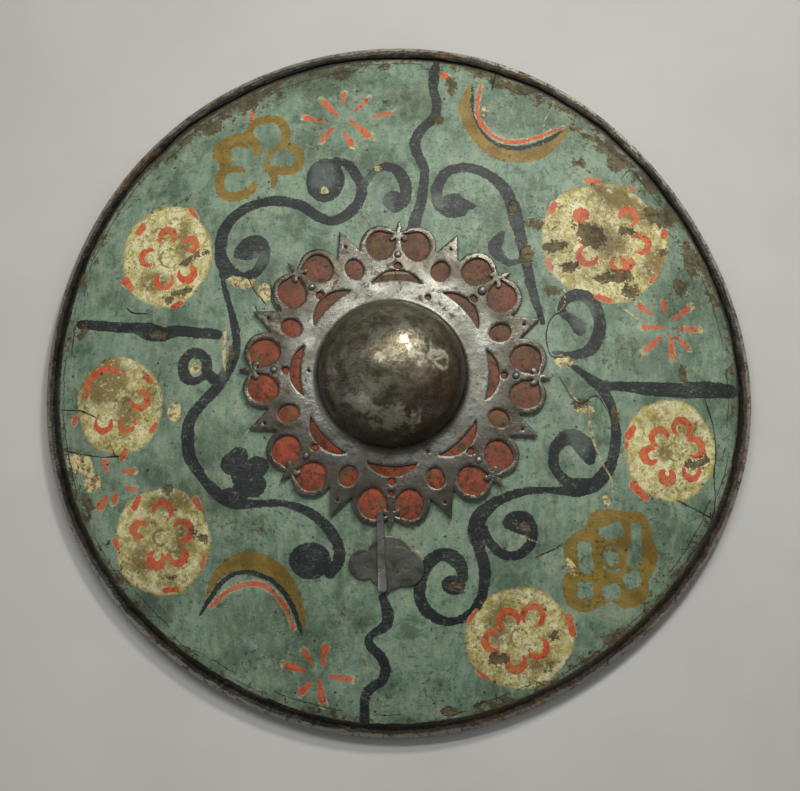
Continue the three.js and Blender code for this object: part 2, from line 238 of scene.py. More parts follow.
# Lays nodes in a tree and wires them, so that a material or a modifier reads as a list of steps
class Bench:
    def __init__(self, tree):
        self.tree = tree
        if tree.type == "SHADER":
            self.where = self.put("ShaderNodeTexCoord").outputs["Object"]

    def plug(self, socket, value):
        if isinstance(value, bpy.types.NodeSocket):
            self.tree.links.new(value, socket)
        else:
            socket.default_value = value

    def put(self, kind, plugs=(), **settings):
        node = self.tree.nodes.new(kind)
        for key, value in settings.items():
            setattr(node, key, value)
        for key, value in dict(plugs).items():
            self.plug(node.inputs[key], value)
        return node

    def sum(self, operation, *values):
        return self.put("ShaderNodeMath", enumerate(values), operation=operation).outputs[0]

    def step(self, value, low, high, bottom=0.0, top=1.0):
        plugs = {"Value": value, "From Min": low, "From Max": high, "To Min": bottom, "To Max": top}
        return self.put("ShaderNodeMapRange", plugs, interpolation_type="SMOOTHSTEP").outputs[0]

    def mix(self, share, first, second, blend="MIX"):
        plugs = {0: share, 6: first, 7: second}
        return self.put("ShaderNodeMix", plugs, data_type="RGBA", blend_type=blend).outputs[2]

    def stretch(self, scale, turn=0.0):
        plugs = {"Vector": self.where, "Scale": scale, "Rotation": (0, 0, math.radians(turn))}
        return self.put("ShaderNodeMapping", plugs).outputs[0]

    def both(self, first, second):
        return self.sum("MULTIPLY", first, second)

    def clouds(self, scale, detail=4.0, rough=0.55, warp=0.0, where=None):
        plugs = {"Vector": where or self.where, "Scale": scale, "Detail": detail, "Roughness": rough,
                 "Distortion": warp}
        return self.put("ShaderNodeTexNoise", plugs).outputs[0]

    # Noise whose bumps are about a size in millimetres
    def mottle(self, size, *settings, **more):
        return self.clouds(1 / (size * mm), *settings, **more)

    # A noise turned into a swing of about so many millimetres to either side
    def swing(self, source, reach):
        return self.sum("MULTIPLY_ADD", source, 6 * reach, -3 * reach)

    # The place moved about by noise, for edges that no grid shows in
    def wander(self, size, reach):
        plugs = {"Vector": self.where, "Scale": 1 / (size * mm), "Detail": 3.0}
        shift = self.put("ShaderNodeTexNoise", plugs).outputs["Color"]
        plugs = {0: shift, 1: (2 * reach * mm,) * 3, 2: self.where}
        return self.put("ShaderNodeVectorMath", plugs, operation="MULTIPLY_ADD").outputs[0]

    def field(self, name):
        return self.put("ShaderNodeAttribute", attribute_name=name).outputs["Fac"]

    # Where a drawn field is above zero, with its edge moved by a wobble
    def inside(self, name, wobble, soft=0.3):
        return self.step(self.sum("ADD", self.field(name), wobble), -soft, soft)

    def group(self, tree, **plugs):
        node = self.put("ShaderNodeGroup", node_tree=tree)
        for key, value in plugs.items():
            self.plug(node.inputs[key], value)
        return node.outputs

    # Dirt, specks or scratches of a group, laid over a base
    def marked(self, base, marks, share, tint, **plugs):
        mask = self.both(self.group(marks, **plugs)["Mask"], share)
        return self.mix(mask, base, colour(*tint))

    # What a look hands to its shader
    def finish(self, base, rough, height, strength=1.0, metal=None):
        plugs = {"Height": height, "Distance": mm, "Strength": strength}
        ends = {"Base Color": base, "Roughness": rough}
        ends["Normal"] = self.put("ShaderNodeBump", plugs).outputs[0]
        return ends if metal is None else dict(ends, Metallic=metal)


def newMaterial(name, look):
    material = bpy.data.materials.new(name)
    material.use_nodes = True
    tree = material.node_tree
    shader = tree.nodes["Principled BSDF"]
    bench = Bench(tree)
    for key, value in look(bench).items():
        bench.plug(shader.inputs[key], value)
    return material


def newGroup(name, inputs, outputs, build):
    tree = bpy.data.node_groups.new(name, "ShaderNodeTree")
    for label, value in inputs.items():
        tree.interface.new_socket(label, in_out="INPUT", socket_type="NodeSocketFloat").default_value = value
    for label in outputs:
        tree.interface.new_socket(label, in_out="OUTPUT", socket_type="NodeSocketFloat")
    bench = Bench(tree)
    source = tree.nodes.new("NodeGroupInput").outputs
    result = tree.nodes.new("NodeGroupOutput")
    for label, value in build(bench, source).items():
        bench.plug(result.inputs[label], value)
    return tree


# Effects that several materials share

def specksOfDirt(bench, source):
    fine = bench.clouds(source["Scale"], 5.0, 0.7, 0.3)
    broad = bench.mottle(38, 3, 0.6)
    level = bench.sum("MULTIPLY_ADD", broad, 0.35, fine)
    low = bench.sum("SUBTRACT", 0.98, source["Amount"])
    return {"Mask": bench.step(level, low, bench.sum("ADD", low, 0.1))}


def fineScratches(bench, source):
    marks = []
    for turn, stretchBy in ((25, 14), (-50, 18), (80, 12)):
        along = bench.stretch((1.0, stretchBy, 1.0), turn)
        lines = bench.clouds(source["Scale"], 2.0, 0.6, where=along)
        marks.append(bench.step(bench.sum("ABSOLUTE", bench.sum("SUBTRACT", lines, 0.5)), 0.012, 0.0))
    most = bench.sum("MAXIMUM", bench.sum("MAXIMUM", marks[0], marks[1]), marks[2])
    patches = bench.step(bench.mottle(30, 3), 0.42, 0.62)
    return {"Mask": bench.both(bench.both(most, patches), source["Amount"])}


def oldIron(bench, source):
    cloud = bench.clouds(source["Scale"], 8.0, 0.62, 0.6)
    pits = bench.put("ShaderNodeTexVoronoi", {"Vector": bench.where, "Scale": 420.0}).outputs[0]
    pitted = bench.both(bench.step(pits, 0.3, 0.05), bench.step(bench.mottle(14, 4), 0.48, 0.62))
    broad = bench.both(bench.mottle(52, 2), 0.4)
    rustLevel = bench.sum("ADD", bench.mottle(11, 7, 0.7, 0.5), broad)
    rustLow = bench.sum("SUBTRACT", 0.95, source["Rust"])
    rust = bench.step(rustLevel, rustLow, bench.sum("ADD", rustLow, 0.14))
    return {"Cloud": bench.step(cloud, 0.32, 0.68), "Pits": pitted, "Rust": rust}


def sparseSpecks(bench, source):
    plugs = {"Vector": bench.wander(3, 1.2), "Scale": source["Scale"]}
    cells = bench.put("ShaderNodeTexVoronoi", plugs).outputs
    chance = bench.put("ShaderNodeSeparateColor", {0: cells["Color"]}).outputs
    radius = bench.sum("MULTIPLY_ADD", chance[1], source["Radius"], 0.04)
    here = bench.step(chance[0], source["Share"], bench.sum("SUBTRACT", source["Share"], 0.02))
    spot = bench.step(cells["Distance"], radius, bench.both(radius, 0.7))
    return {"Mask": bench.both(here, spot)}


dirtGroup = newGroup("specksOfDirt", {"Scale": 300.0, "Amount": 0.2}, ["Mask"], specksOfDirt)
scratchGroup = newGroup("fineScratches", {"Scale": 60.0, "Amount": 1.0}, ["Mask"], fineScratches)
speckGroup = newGroup("sparseSpecks", {"Scale": 120.0, "Radius": 0.2, "Share": 0.3}, ["Mask"], sparseSpecks)
ironGroup = newGroup("oldIron", {"Scale": 30.0, "Rust": 0.2}, ["Cloud", "Pits", "Rust"], oldIron)

# Camera at the photograph's angle: degrees off the vertical, places in millimetres, and the lens

view = {
    "below": 9.8,
    "aside": 0.84,
    "distance": 1800.0,
    "aim": (0.0, 0.0, 40.0),
    "centreRight": 3.96,
    "centreDown": 13.3,
    "lens": 96.04,
}


def makeCamera():
    below, aside = math.radians(view["below"]), math.radians(view["aside"])
    back = Vector((math.sin(aside) * math.cos(below), -math.sin(below), math.cos(aside) * math.cos(below)))
    right = Vector((0, 1, 0)).cross(back).normalized()
    aim = Vector(view["aim"])
    eye = aim + view["distance"] * back
    aim = aim + view["centreRight"] * right - view["centreDown"] * back.cross(right)
    back = (eye - aim).normalized()
    right = Vector((0, 1, 0)).cross(back).normalized()
    camera = bpy.data.objects.new("camera", bpy.data.cameras.new("camera"))
    camera.data.lens = view["lens"]
    camera.data.sensor_width = 36
    camera.data.clip_start = 0.05
    camera.location = eye * mm
    camera.rotation_euler = Matrix((right, back.cross(right), back)).transposed().to_euler()
    bpy.context.scene.collection.objects.link(camera)
    bpy.context.scene.camera = camera


makeCamera()
print("camera set")

# Floor and lights

studio = {
    "floorHalf": 4.0,
    "floor": (196, 194, 188),
    "floorRoughness": 0.75,
    "worldColour": (0.55, 0.58, 0.62, 1.0),
    "worldStrength": 0.26,
    # place in metres, aim, width, height, watts, colour
    "lights": [
        ((-0.14, 0.88, 2.05), (0, 0.05, 0), 1.7, 0.24, 19.0, (1.0, 0.99, 0.96)),
        ((1.5, 0.3, 2.0), (0, 0, 0), 1.2, 1.2, 5.0, (0.97, 0.99, 1.0)),
        ((-1.5, -0.9, 1.8), (0, 0, 0), 1.4, 1.4, 3.0, (0.92, 0.97, 1.0)),
    ],
    # a wide soft beam from the upper right, low enough that its glare misses the plate
    "beam": {"place": (0.75, 1.55, 1.75), "aim": (0.06, 0.1, 0.05), "angle": 36, "radius": 0.22,
             "watts": 112.0, "colour": (1.0, 0.99, 0.95)},
}


def makeStudio():
    scene = bpy.context.scene
    half = studio["floorHalf"] / mm
    corners = [(-half, -half, -0.05), (half, -half, -0.05), (half, half, -0.05), (-half, half, -0.05)]

    def floorLook(bench):
        pale = colour(*studio["floor"])
        grey = tuple(c * 0.94 for c in pale[:3]) + (1.0,)
        clouds = bench.step(bench.mottle(160, 3), 0.35, 0.65)
        return {"Base Color": bench.mix(clouds, pale, grey), "Roughness": studio["floorRoughness"]}

    floor = makePiece("floor", corners, [(0, 1, 2, 3)], [newMaterial("paleFloor", floorLook)])

    def hang(name, kind, place, aim, watts, tint):
        lamp = bpy.data.lights.new(name, kind)
        lamp.energy, lamp.color = watts, tint
        light = bpy.data.objects.new(name, lamp)
        light.location = place
        light.rotation_euler = (Vector(place) - Vector(aim)).to_track_quat("Z", "Y").to_euler()
        scene.collection.objects.link(light)
        return lamp

    for number, (place, aim, width, height, watts, tint) in enumerate(studio["lights"]):
        lamp = hang(f"softLight{number + 1}", "AREA", place, aim, watts, tint)
        lamp.shape, lamp.size, lamp.size_y = "RECTANGLE", width, height
    beam = studio["beam"]
    lamp = hang("softBeam", "SPOT", beam["place"], beam["aim"], beam["watts"], beam["colour"])
    lamp.spot_size, lamp.spot_blend, lamp.shadow_soft_size = math.radians(beam["angle"]), 1.0, beam["radius"]
    world = bpy.data.worlds.new("studioWorld")
    world.use_nodes = True
    back = world.node_tree.nodes["Background"].inputs
    back["Color"].default_value = studio["worldColour"]
    back["Strength"].default_value = studio["worldStrength"]
    scene.world = world
    scene.view_settings.view_transform = "Standard"


makeStudio()
print("studio lit")

# The painting, in millimetres on the face; a stroke's rows are x, y and width

inkStrokes = {
    "north": [(36, 288, 5), (34, 275, 9), (33, 258, 8.5), (36, 241, 8), (33, 229, 9), (24, 220, 8.5),
              (18, 210, 9), (17, 200, 9.5), (21, 189, 8.5), (25, 178, 8), (24, 164, 8), (22, 148, 9),
              (17, 132, 10), (15, 121, 11)],
    "south": [(-10, -184, 7), (-6, -198, 10), (-8, -207, 9), (-16, -212, 7), (-22, -217, 6), (-20, -224, 8),
              (-12, -232, 8.5), (-8, -242, 8.5), (-12, -252, 8), (-20, -257, 8), (-25, -265, 8),
              (-26, -285, 8.5)],
    "west": [(-270, 52, 8), (-250, 49, 9), (-232, 46, 9), (-220, 45, 10), (-208, 41, 15), (-196, 38, 13),
             (-184, 40, 10), (-168, 38, 9.5), (-149, 35, 9)],
    "east": [(144, 9, 3), (150, 6, 5), (158, 1, 7), (166, -5, 9), (177, -8, 8), (194, -8, 9), (215, -9, 12),
             (240, -9, 13), (262, -7, 15), (286, -7, 12)],
    "leftTop": [(-50, 189, 6), (-40, 184, 9), (-33, 174, 9), (-28, 162, 9), (-31, 149, 9.5), (-40, 138, 9.5),
                (-53, 132, 9), (-66, 137, 9), (-78, 146, 9), (-92, 151, 9.5), (-108, 152, 9),
                (-126, 147, 9.5), (-140, 136, 10), (-147, 122, 10.5), (-148, 108, 11), (-145, 97, 12),
                (-139, 89, 12)],
    "leftHook": [(-139, 89, 12), (-129, 85, 9), (-118, 88, 9), (-111, 97, 9.5), (-110, 107, 10),
                 (-114, 116, 9), (-122, 117, 9), (-130, 111, 9), (-134, 104, 5)],
    "leftDown": [(-146, 90, 5), (-145, 82, 4), (-142, 70, 5), (-138, 57, 5.5), (-134, 42, 7),
                 (-132.5, 28, 7.5), (-134, 15, 8), (-140, 3, 10), (-148, -9, 10), (-160, -22, 9.5),
                 (-170, -34, 10), (-173, -48, 11), (-172, -64, 11), (-166, -76, 9.5), (-156, -90, 9),
                 (-144, -101, 11), (-130, -107, 9.5), (-114, -107, 6.5), (-94, -107, 6), (-76, -112, 7.5),
                 (-62, -121, 9), (-52, -132, 9.5), (-46, -144, 10), (-47, -156, 10), (-54, -165, 9)],
    "leftRing": [(-148, -5, 10), (-157, 3, 9), (-158, 13, 9.5), (-165, 20, 9), (-174, 18, 9), (-178, 9, 9.5),
                 (-175, -1, 9), (-167, -4, 7), (-158, 1, 6)],
    "topBranch": [(-28, 163, 7), (-22, 172, 6.5), (-17, 179, 6), (-8, 182, 8), (1, 179, 10), (7, 170, 11),
                  (9, 160, 11), (7, 149, 10), (0, 143, 9)],
    "rightTop": [(58, 139, 5), (50, 138, 8), (42, 141, 9), (36, 148, 9.5), (35, 157, 9.5), (37, 167, 9.5),
                 (43, 176, 9.5), (53, 181, 9), (64, 181.5, 9), (76, 177, 9.5), (87, 169, 10), (95, 159, 11),
                 (100, 146, 12.5), (103, 132, 12), (106, 118, 10), (108, 106, 9), (111, 92, 9), (114, 78, 9),
                 (117, 64, 7.5), (121, 52, 6), (123, 44, 5)],
    "rightTopTip": [(49, 150, 14), (58, 146.5, 12), (67, 146, 4)],
    "smallLeaf": [(104, 97, 5), (96, 95, 6), (89, 100, 8), (84, 108, 12), (87, 116, 9), (91, 122, 3)],
    "rightRing": [(132, 19, 3.5), (143, 17, 6), (154, 18, 8), (164, 23, 11), (170, 34, 11), (171.5, 49, 11),
                  (167, 62, 11.5), (158, 69, 11), (148, 68, 10), (141, 61, 7.5), (140, 54, 7.5), (146, 49, 8),
                  (152, 44, 12), (154, 39, 11)],
    "rightDown": [(166, -5, 8), (174, -13, 9), (180, -24, 8.5), (183, -36, 7.5), (184.5, -48, 9),
                  (183, -60, 9.5), (180, -72, 10), (174, -82, 12), (165, -91, 12), (152, -96, 10.5),
                  (136, -96.5, 6.5), (120, -96, 5.5), (106, -98, 7), (92, -102, 8), (80, -109, 10),
                  (70, -118, 13), (66, -130, 12), (69, -143, 10), (73, -156, 10), (74, -170, 9.5),
                  (71, -184, 8.5), (65, -194, 8), (56, -201, 7.5), (44, -203.5, 7.5), (33, -200, 9),
                  (24, -192, 10), (20, -181, 10.5), (22, -168, 10.5), (28, -156, 11), (38, -149.5, 11),
                  (48, -152, 12), (55, -160, 11), (56, -168, 9)],
    "rightCurl": [(168, -89, 8), (157, -90, 9), (146, -90, 8.5), (137, -84, 9), (131.5, -75, 9),
                  (132, -64, 9.5), (138, -55, 12), (147, -52, 14), (155, -57, 17), (160, -64, 15),
                  (162, -70, 9)],
    "branchCurl": [(74, -128, 6), (77, -137, 7), (84, -146, 8), (94, -150, 8), (104, -148, 8.5),
                   (112, -140, 9), (113.5, -130, 9.5), (110, -121, 10), (102, -118, 10), (95, -120, 9)],
    "branchTip": [(94, -121, 8), (100, -125, 12), (108, -128, 11)],
    "crescentRight": [(67, 260, 2), (66.5, 244, 3.5), (70, 228, 3.5), (77, 214, 3.6), (86, 205.5, 3.8),
                      (100, 201.6, 4), (114, 203.5, 4), (128, 209.5, 4), (138, 216, 3.5), (147, 224, 1.5)],
    "crescentLeft": [(-163, -197, 2.5), (-152, -180, 4), (-142, -169, 4), (-130, -163, 4), (-116, -164, 4),
                     (-102, -170, 4), (-90, -182, 4), (-82, -198, 4), (-77, -215, 2.5)],
}
# x, y, half width, half height, lean
inkBlobs = [
    (-59.5, 170, 16.5, 20.5), (-70, -154, 17.5, 15), (-1, 150, 9, 9.5), (49, 146, 11, 11),
    (48, -174, 10, 8, -10), (-136, -74, 9, 9), (-130, -68, 8.5, 8), (-114, -77, 9.5, 9), (-117, -92, 11, 10),
    (-127, -84, 9, 9), (-128, -97, 8, 8), (-124, 108, 11, 9), (-136, -100, 9, 7), (98, -124, 9, 6),
]
ochreStrokes = [
    # the upper right crescent and the lower left one, wide in the middle
    [(66, 262, 4), (60.5, 246, 10), (62.5, 228, 11), (71, 212, 12), (85, 198, 13), (102, 194, 13),
     (119, 197, 13), (131, 204, 11), (140, 213, 8), (149, 222, 4)],
    [(-158, -183, 2), (-150, -168, 7), (-138, -157, 12), (-123, -153.5, 15), (-108, -156, 15),
     (-95, -165, 14), (-85, -179, 11), (-79, -193, 8), (-76, -210, 3)],
    # the flower at the upper left, four open lobes
    [(-127, 217, 7), (-123, 227, 7.5), (-113, 231.5, 7.5), (-102, 230, 8), (-96, 222, 8), (-94, 212, 7.5),
     (-97, 206, 6)],
    [(-95, 205, 7), (-86, 201, 8), (-81, 192, 8), (-84, 183, 8.5), (-94, 180, 8.5), (-103, 181, 8),
     (-110, 183, 6)],
    [(-111, 190, 3.5), (-106, 199, 4), (-98, 204, 5)],
    [(-108, 182, 5), (-103, 174, 6), (-104, 166, 4)],
    [(-156, 197, 5), (-153, 205, 8), (-146, 212, 8.5), (-134, 215.5, 8), (-124, 212, 8), (-119, 204, 7),
     (-120, 197, 4)],
    [(-147, 206, 10), (-148, 196, 12), (-146, 187, 9)],
    [(-144, 205, 4), (-136, 208, 4), (-128, 205, 4)],
    [(-145, 188, 8), (-150, 177, 8.5), (-150, 166, 9), (-143, 158.5, 9), (-131, 159, 8.5), (-123, 164, 8),
     (-121, 170, 4)],
    [(-145, 183, 6), (-137, 184, 6), (-130, 182, 4)],
]
# The flower at the lower right: a lobed disc with openings
lattice = {
    "outline": [(139, -140), (149, -130), (158, -126), (163, -114), (178, -110), (192, -112), (205, -112),
                (214, -123), (214, -133), (220, -144), (218, -157), (212, -167), (212, -179), (203, -189),
                (190, -191), (180, -186), (168, -192), (155, -195), (144, -190), (139, -178), (140, -166),
                (146, -161), (140, -154)],
    "cells": [(180, -129, 11, 7, 22, 4, -1.0), (201, -128, 5.5, 7, 0, 4, -1.0),
              (158, -150, 6.5, 14.5, 8, 4, -1.0), (181, -151, 8.5, 12, 0, 4, -0.8),
              (200, -147, 6.5, 12, -8, 4, -1.0), (158, -177, 7.5, 7.5, 0, 4, -1.0),
              (180, -178, 8.5, 7, 10, 4, -0.8), (198, -168, 8, 7, 20, 4, -1.0), (141, -156, 5, 3, -50)],
    # thin strokes that cross the openings
    "strokes": [
        [(172, -152, 3), (178, -158, 3.5), (186, -156, 3.5), (188, -148, 3.5), (182, -143, 3), (176, -145, 2)],
        [(171, -134, 3), (180, -139, 4), (190, -138, 4)],
        [(174, -172, 3), (184, -169, 4), (190, -174, 3)],
    ],
}
# Each rosette: its oval, how dirty it is, its petals (x, y, radius, open side, width, gap)
# and its dabs (x, y, length, lean, width)
rosettes = [
    {"oval": (-195, 107, 39.5, 46, 0, 5, 0.7), "soil": 0.2,
     "petals": [(-195, 124, 6.5, -90, 6), (-210, 107, 7, 0, 5), (-196, 86, 7, 85), (-177, 91, 6.5, 110, 6),
                (-175, 116, 5.5, 215, 6)],
     "dabs": [(-219, 134, 13, 60, 7), (-172, 144, 15, -50, 4), (-228, 84, 17, -52, 7.5),
              (-184, 63, 13, 25, 5)]},
    {"oval": (-233, -21, 38, 42, 15, 5, 0.8), "soil": 0.6,
     "petals": [(-247, -35, 7, 85, 4.5), (-226, -36, 7, 80, 4), (-215, -17, 7, 150, 5.5, 70)],
     "dabs": [(-208, 0, 12, -50, 5.5), (-202, -41, 12, 55, 5.5), (-273, -31, 10, 80, 5),
              (-228, -63, 9, 60, 4)]},
    {"oval": (-195.5, -136, 41.5, 44.5, 0, 5, 0.8), "soil": 0.3,
     "petals": [(-195, -112, 8, -120, 4.5), (-214, -126, 6, -20, 6), (-178, -128, 8, 200, 5.5),
                (-200, -150, 6, 70, 7, 80), (-182, -147, 7.5, 110, 5.5)],
     "dabs": [(-217, -103, 15, 65, 6), (-164, -106, 15, -60, 6), (-235, -138, 13, -70, 5),
              (-188, -176, 16, 5, 5), (-160, -154, 12, 75, 4)]},
    {"oval": (178, 118, 55, 54.5, 0, 5, 1.0), "soil": 0.65,
     "petals": [(159, 140, 4, -60, 8, 60), (199, 142, 7.5, -115, 5.5), (208, 118, 8, 195, 5),
                (191, 99, 7.5, 80, 5), (163, 105, 8, 50, 5), (197, 102, 4, 90, 6)],
     "dabs": [(170, 174, 16, 0, 6), (204, 169, 10, -40, 3), (134, 147, 14, 65, 6), (130, 95, 13, -70, 6),
              (176, 67, 16, -15, 5.5), (219, 88, 12, 60, 3), (231, 130, 11, 80, 6), (158, 117, 5, 60, 4)]},
    {"oval": (231, -60, 39.5, 43, 0, 5, 0.8), "soil": 0.3,
     "petals": [(241, -41, 7, -95, 5.5, 60), (222, -50, 7, -60, 5.5), (251, -57, 7.5, 190, 6),
                (249, -76, 7, 90, 4.5), (228, -81, 4.5, 90, 8, 60), (214, -65, 6, 10, 6.5, 90)],
     "dabs": [(197, -46, 15, 55, 7), (204, -95, 21, -42, 7), (193, -57, 7, 80, 4)]},
    {"oval": (103, -217, 45.5, 41.5, 0, 5, 0.8), "soil": 0.3,
     "petals": [(82, -219, 8, 5, 5), (94, -203, 8, -75, 5), (114, -199, 8.5, -110, 5, 60),
                (118, -224, 8, 140, 5), (100, -235, 7.5, 90, 6)],
     "dabs": [(64, -199, 14, 55, 4), (73, -247, 15, -35, 4), (146, -206, 21, -75, 7)]},
]
# Faint rings inside the flowers: x, y, radius
flowerRings = [(-192, 105, 8.5), (-196, -133, 6.5), (235, -61, 7.5), (103, -217, 7.5), (-233, -12, 6),
               (241, -41, 2.5)]
# Eight-rayed flowers: each row is the inner end, the outer end and the width
starRays = [
    (-45, 243, -45, 253, 5), (-35, 237, -25, 248, 4.5), (-21, 230, -5, 234, 4.5), (-39, 227, -24, 213, 6.5),
    (-44, 215, -38, 205, 6), (-54, 220, -63, 209, 5), (-61, 226, -77, 231, 5), (-50, 232, -62, 246, 6),
    (229, 57, 228, 67, 5.5), (236, 53, 249, 63, 5.5), (239, 44.5, 255, 45, 5.5), (237, 38, 247, 29, 4.5),
    (233, 38, 234, 21, 5.5), (224, 36, 212, 25, 6), (226, 45, 210, 44, 5), (217, 55, 207, 62, 6),
    (-60, -238, -58, -225, 6.5), (-54, -248, -39, -250, 6.5), (-63, -251, -61, -267, 7),
    (-70, -252, -78, -260, 6.5), (-74, -244, -89, -239, 7), (-69, -238, -75, -228, 6),
    (-244, -77, -245, -68, 5), (-231, -67, -228, -61, 5), (-230, -77, -221, -77, 5.5),
    (-228, -90, -220, -92, 5.5), (-234, -94, -237, -101, 6), (-244, -97, -249, -105, 7),
    (-125, 228, -125, 238, 4), (39, 275, 43, 272, 7),
]
redBands = [
    [(75, 264, 2.5), (71.5, 249, 3.4), (70.5, 235, 3.4), (76, 222, 3.4), (84, 212.5, 3.4), (98, 207.5, 3.4),
     (112, 209, 3.2), (128, 216, 3.2), (145, 224.5, 2)],
    [(-154, -191, 3), (-144, -181.5, 3.8), (-134, -175.5, 3.8), (-120, -172, 3.8), (-108, -174, 3.8),
     (-98, -182, 3.6), (-90, -194, 3.4), (-84, -209, 2.5)],
]
fadedRed = [[(-263, -12, 3), (-261, 1, 5), (-252, 9, 6), (-241, 11, 5), (-233, 5, 3)]]
# Where the paint has gone down to brown wood, and where only the pale ground is left: x, y, half sizes, lean
brownLosses = [
    (-169, 105, 12, 2.6, 22), (-179, 99, 4, 3, -40), (-192, 68, 3.5, 3), (-180, 74, 9, 2.6, 8),
    (-184, 157, 8, 2.2, 30), (-200, 38, 8, 3.6, -10), (-191, -94, 5.5, 4, 20), (-159, -135, 4, 3, 20),
    (-188, -166, 5, 2), (167, 123, 14, 11, -20), (135, 112, 11, 5, 10), (184, 87, 17, 5, 10),
    (198, 74, 7, 6, 20), (197, 129, 7, 4), (147, 93, 8, 4, 20), (221, 177, 7, 10, 30), (238, 150, 6, 12),
    (185, 205, 14, 6, -35), (152, 132, 5, 3), (244, 80, 6, 7), (117, 131, 8, 5), (157, 190, 7, 4),
    (133, 72, 8, 4, -10), (254, -69, 12, 4.5, 15), (85, -234, 8, 5), (131, -214, 4, 4), (124, -193, 2, 2),
    (106, -125, 6, 3.5, -30), (52, -175, 8, 4, -15), (111, 101, 6, 10), (183, -34, 4, 9), (243, 4, 3, 9),
    (-268, 44, 7, 4, 50), (-137, 18, 2, 12), (-262, -102, 4, 8, 30), (-235, -165, 7, 5, -50),
    (46, -277, 9, 4), (193, 194, 10, 9, 30), (227, 144, 15, 8, -30), (252, 108, 5, 19, 5), (242, 82, 5, 7),
    (-8, 244, 3, 4), (48, 262, 5, 10), (100, 146, 4, 6), (104, 263, 24, 4, -14), (-48, 276, 8, 8),
    (-10, 282, 6, 3), (170, 216, 12, 4, -25), (-120, 256, 16, 6, 28), (-160, 226, 10, 7, 40),
    (156, 224, 7, 4), (155, -23, 7, 3, 10), (230, 112, 4, 3), (-168, -128, 3, 4), (36, 228, 4, 6, 60),
]
paleLosses = [
    (-129, 80, 13, 5, -12), (-109, 70, 6, 9, 15), (-184, -29, 6, 7.5), (-268, -68, 13, 9, -30),
    (-256, -85, 8, 9), (140, 12, 8, 4.5, -10), (158, -28, 8, 4), (146, -158, 9, 4, -50),
    (175, -103, 5, 3, -60), (112, 105, 3, 5), (-15, 181, 3, 2.5), (76, 237, 3, 6, -15), (-60, 160, 3.5, 3.5),
    (-167, 8, 4, 4.5),
]
creamStains = [
    (-250, 4, 26, 26, 30), (-205, 86, 16, 11), (-226, -26, 12, 18), (-178, -140, 9, 20), (-214, -150, 12, 14),
    (224, -62, 7, 10), (248, -44, 10, 10), (196, 154, 34, 14, -30), (222, 96, 14, 24), (86, -206, 12, 20),
    (120, -236, 16, 9), (-180, 118, 8, 22), (-190, -104, 22, 9), (180, 118, 20, 14),
]
paleLines = [
    [(143, -12, 1), (150, -20, 1.6), (160, -31, 2.6), (163, -46, 2.6), (166, -58, 2.0), (172, -72, 1.4),
     (180, -86, 1.6), (181, -96, 1.4), (177, -106, 1.6)],
    [(139, 251, 3), (134, 242, 1.8), (129, 228, 1.5), (127, 206, 1)],
    [(87, 275, 2), (84, 262, 1.4), (80, 250, 1.0)], [(-54, -234, 1), (-36, -250, 1)],
    [(-28, -258, 1.2), (-18, -266, 1.1), (4, -279, 1)], [(-27, -231, 1.8), (-22, -245, 1.8)],
    [(89, -130, 1.4), (104, -134, 1.6), (118, -139, 1.5)], [(142, 75, 1.3), (142, 60, 1.4), (134, 51, 1)],
    [(-79, 278, 1), (-75, 258, 1.2)], [(20, -148, 2.2), (10, -141, 1.2)],
    [(-142, 38, 2.6), (-143, 22, 3.2), (-142, 4, 2)], [(126, 30, 0.9), (130, 16, 1), (141, 11, 1)],
    [(188, 62, 1.4), (196, 57, 2), (206, 50, 1.4)], [(204, 184, 0.9), (198, 177, 0.9), (200, 171, 0.9)],
    [(56, 278, 1.2), (72, 272, 1)], [(-104, -190, 0.8), (-101, -214, 0.8)],
]
# Hazy pale patches, and patches a little darker than the rest
chalkPatches = [
    (-227, 30, 15, 11, 10), (-118, 66, 13, 7, -30), (-62, 174, 13, 15), (-143, 12, 4, 20), (36, 150, 9, 8),
    (-10, 146, 10, 16), (130, 22, 10, 20), (158, 50, 12, 16), (150, -40, 12, 30, 15), (-112, 100, 10, 8),
    (132, 100, 8, 26), (12, -146, 16, 8), (150, -62, 10, 8), (-20, 172, 10, 7),
]
shadePatches = [
    (106, 238, 36, 25, -8), (111, 231, 6, 6), (-150, -60, 26, 20), (-120, -200, 30, 16), (20, 250, 30, 12),
    (210, 20, 30, 16), (-90, 200, 30, 20), (-205, -180, 24, 18, -40), (-262, -50, 14, 30), (150, 40, 12, 26),
]
crackLines = [
    [(-284, -22), (-270, -23), (-262, -26), (-254, -30)],
    [(-280, -57), (-260, -62), (-247, -64), (-234, -64)], [(104, 32), (113, 42), (121, 49)],
    [(126, 30), (128, 43), (134, 51), (142, 54)], [(126, 30), (130, 16), (141, 15)],
    [(138, -4), (143, -12), (148, -20), (156, -24), (163, -18), (170, -18), (176, -27)],
    [(263, -18), (269, -38), (271, -60), (269, -80), (270, -100), (266, -120), (258, -134), (246, -150)],
    [(238, -102), (256, -110), (268, -116)], [(-117, 58), (-113, 50), (-107, 39)],
    [(-104, 77), (-103, 62), (-98, 54)], [(-228, 62), (-222, 58), (-212, 57)],
    [(89, 280), (86, 270), (84, 260)], [(118, -150), (128, -146), (137, -141)],
    [(-124, 84), (-118, 72), (-108, 60)], [(196, 180), (202, 187), (208, 184), (212, 178)],
]
# Width of the worn band inside the rim, by turn from the top
edgeWear = [
    (0, 11), (20, 15), (35, 12), (45, 19), (60, 14), (70, 17), (90, 9), (110, 9), (130, 14), (150, 15),
    (165, 12), (180, 9), (200, 8), (225, 10), (250, 14), (270, 9), (290, 9), (305, 13), (320, 20), (335, 25),
    (350, 18), (360, 11),
]

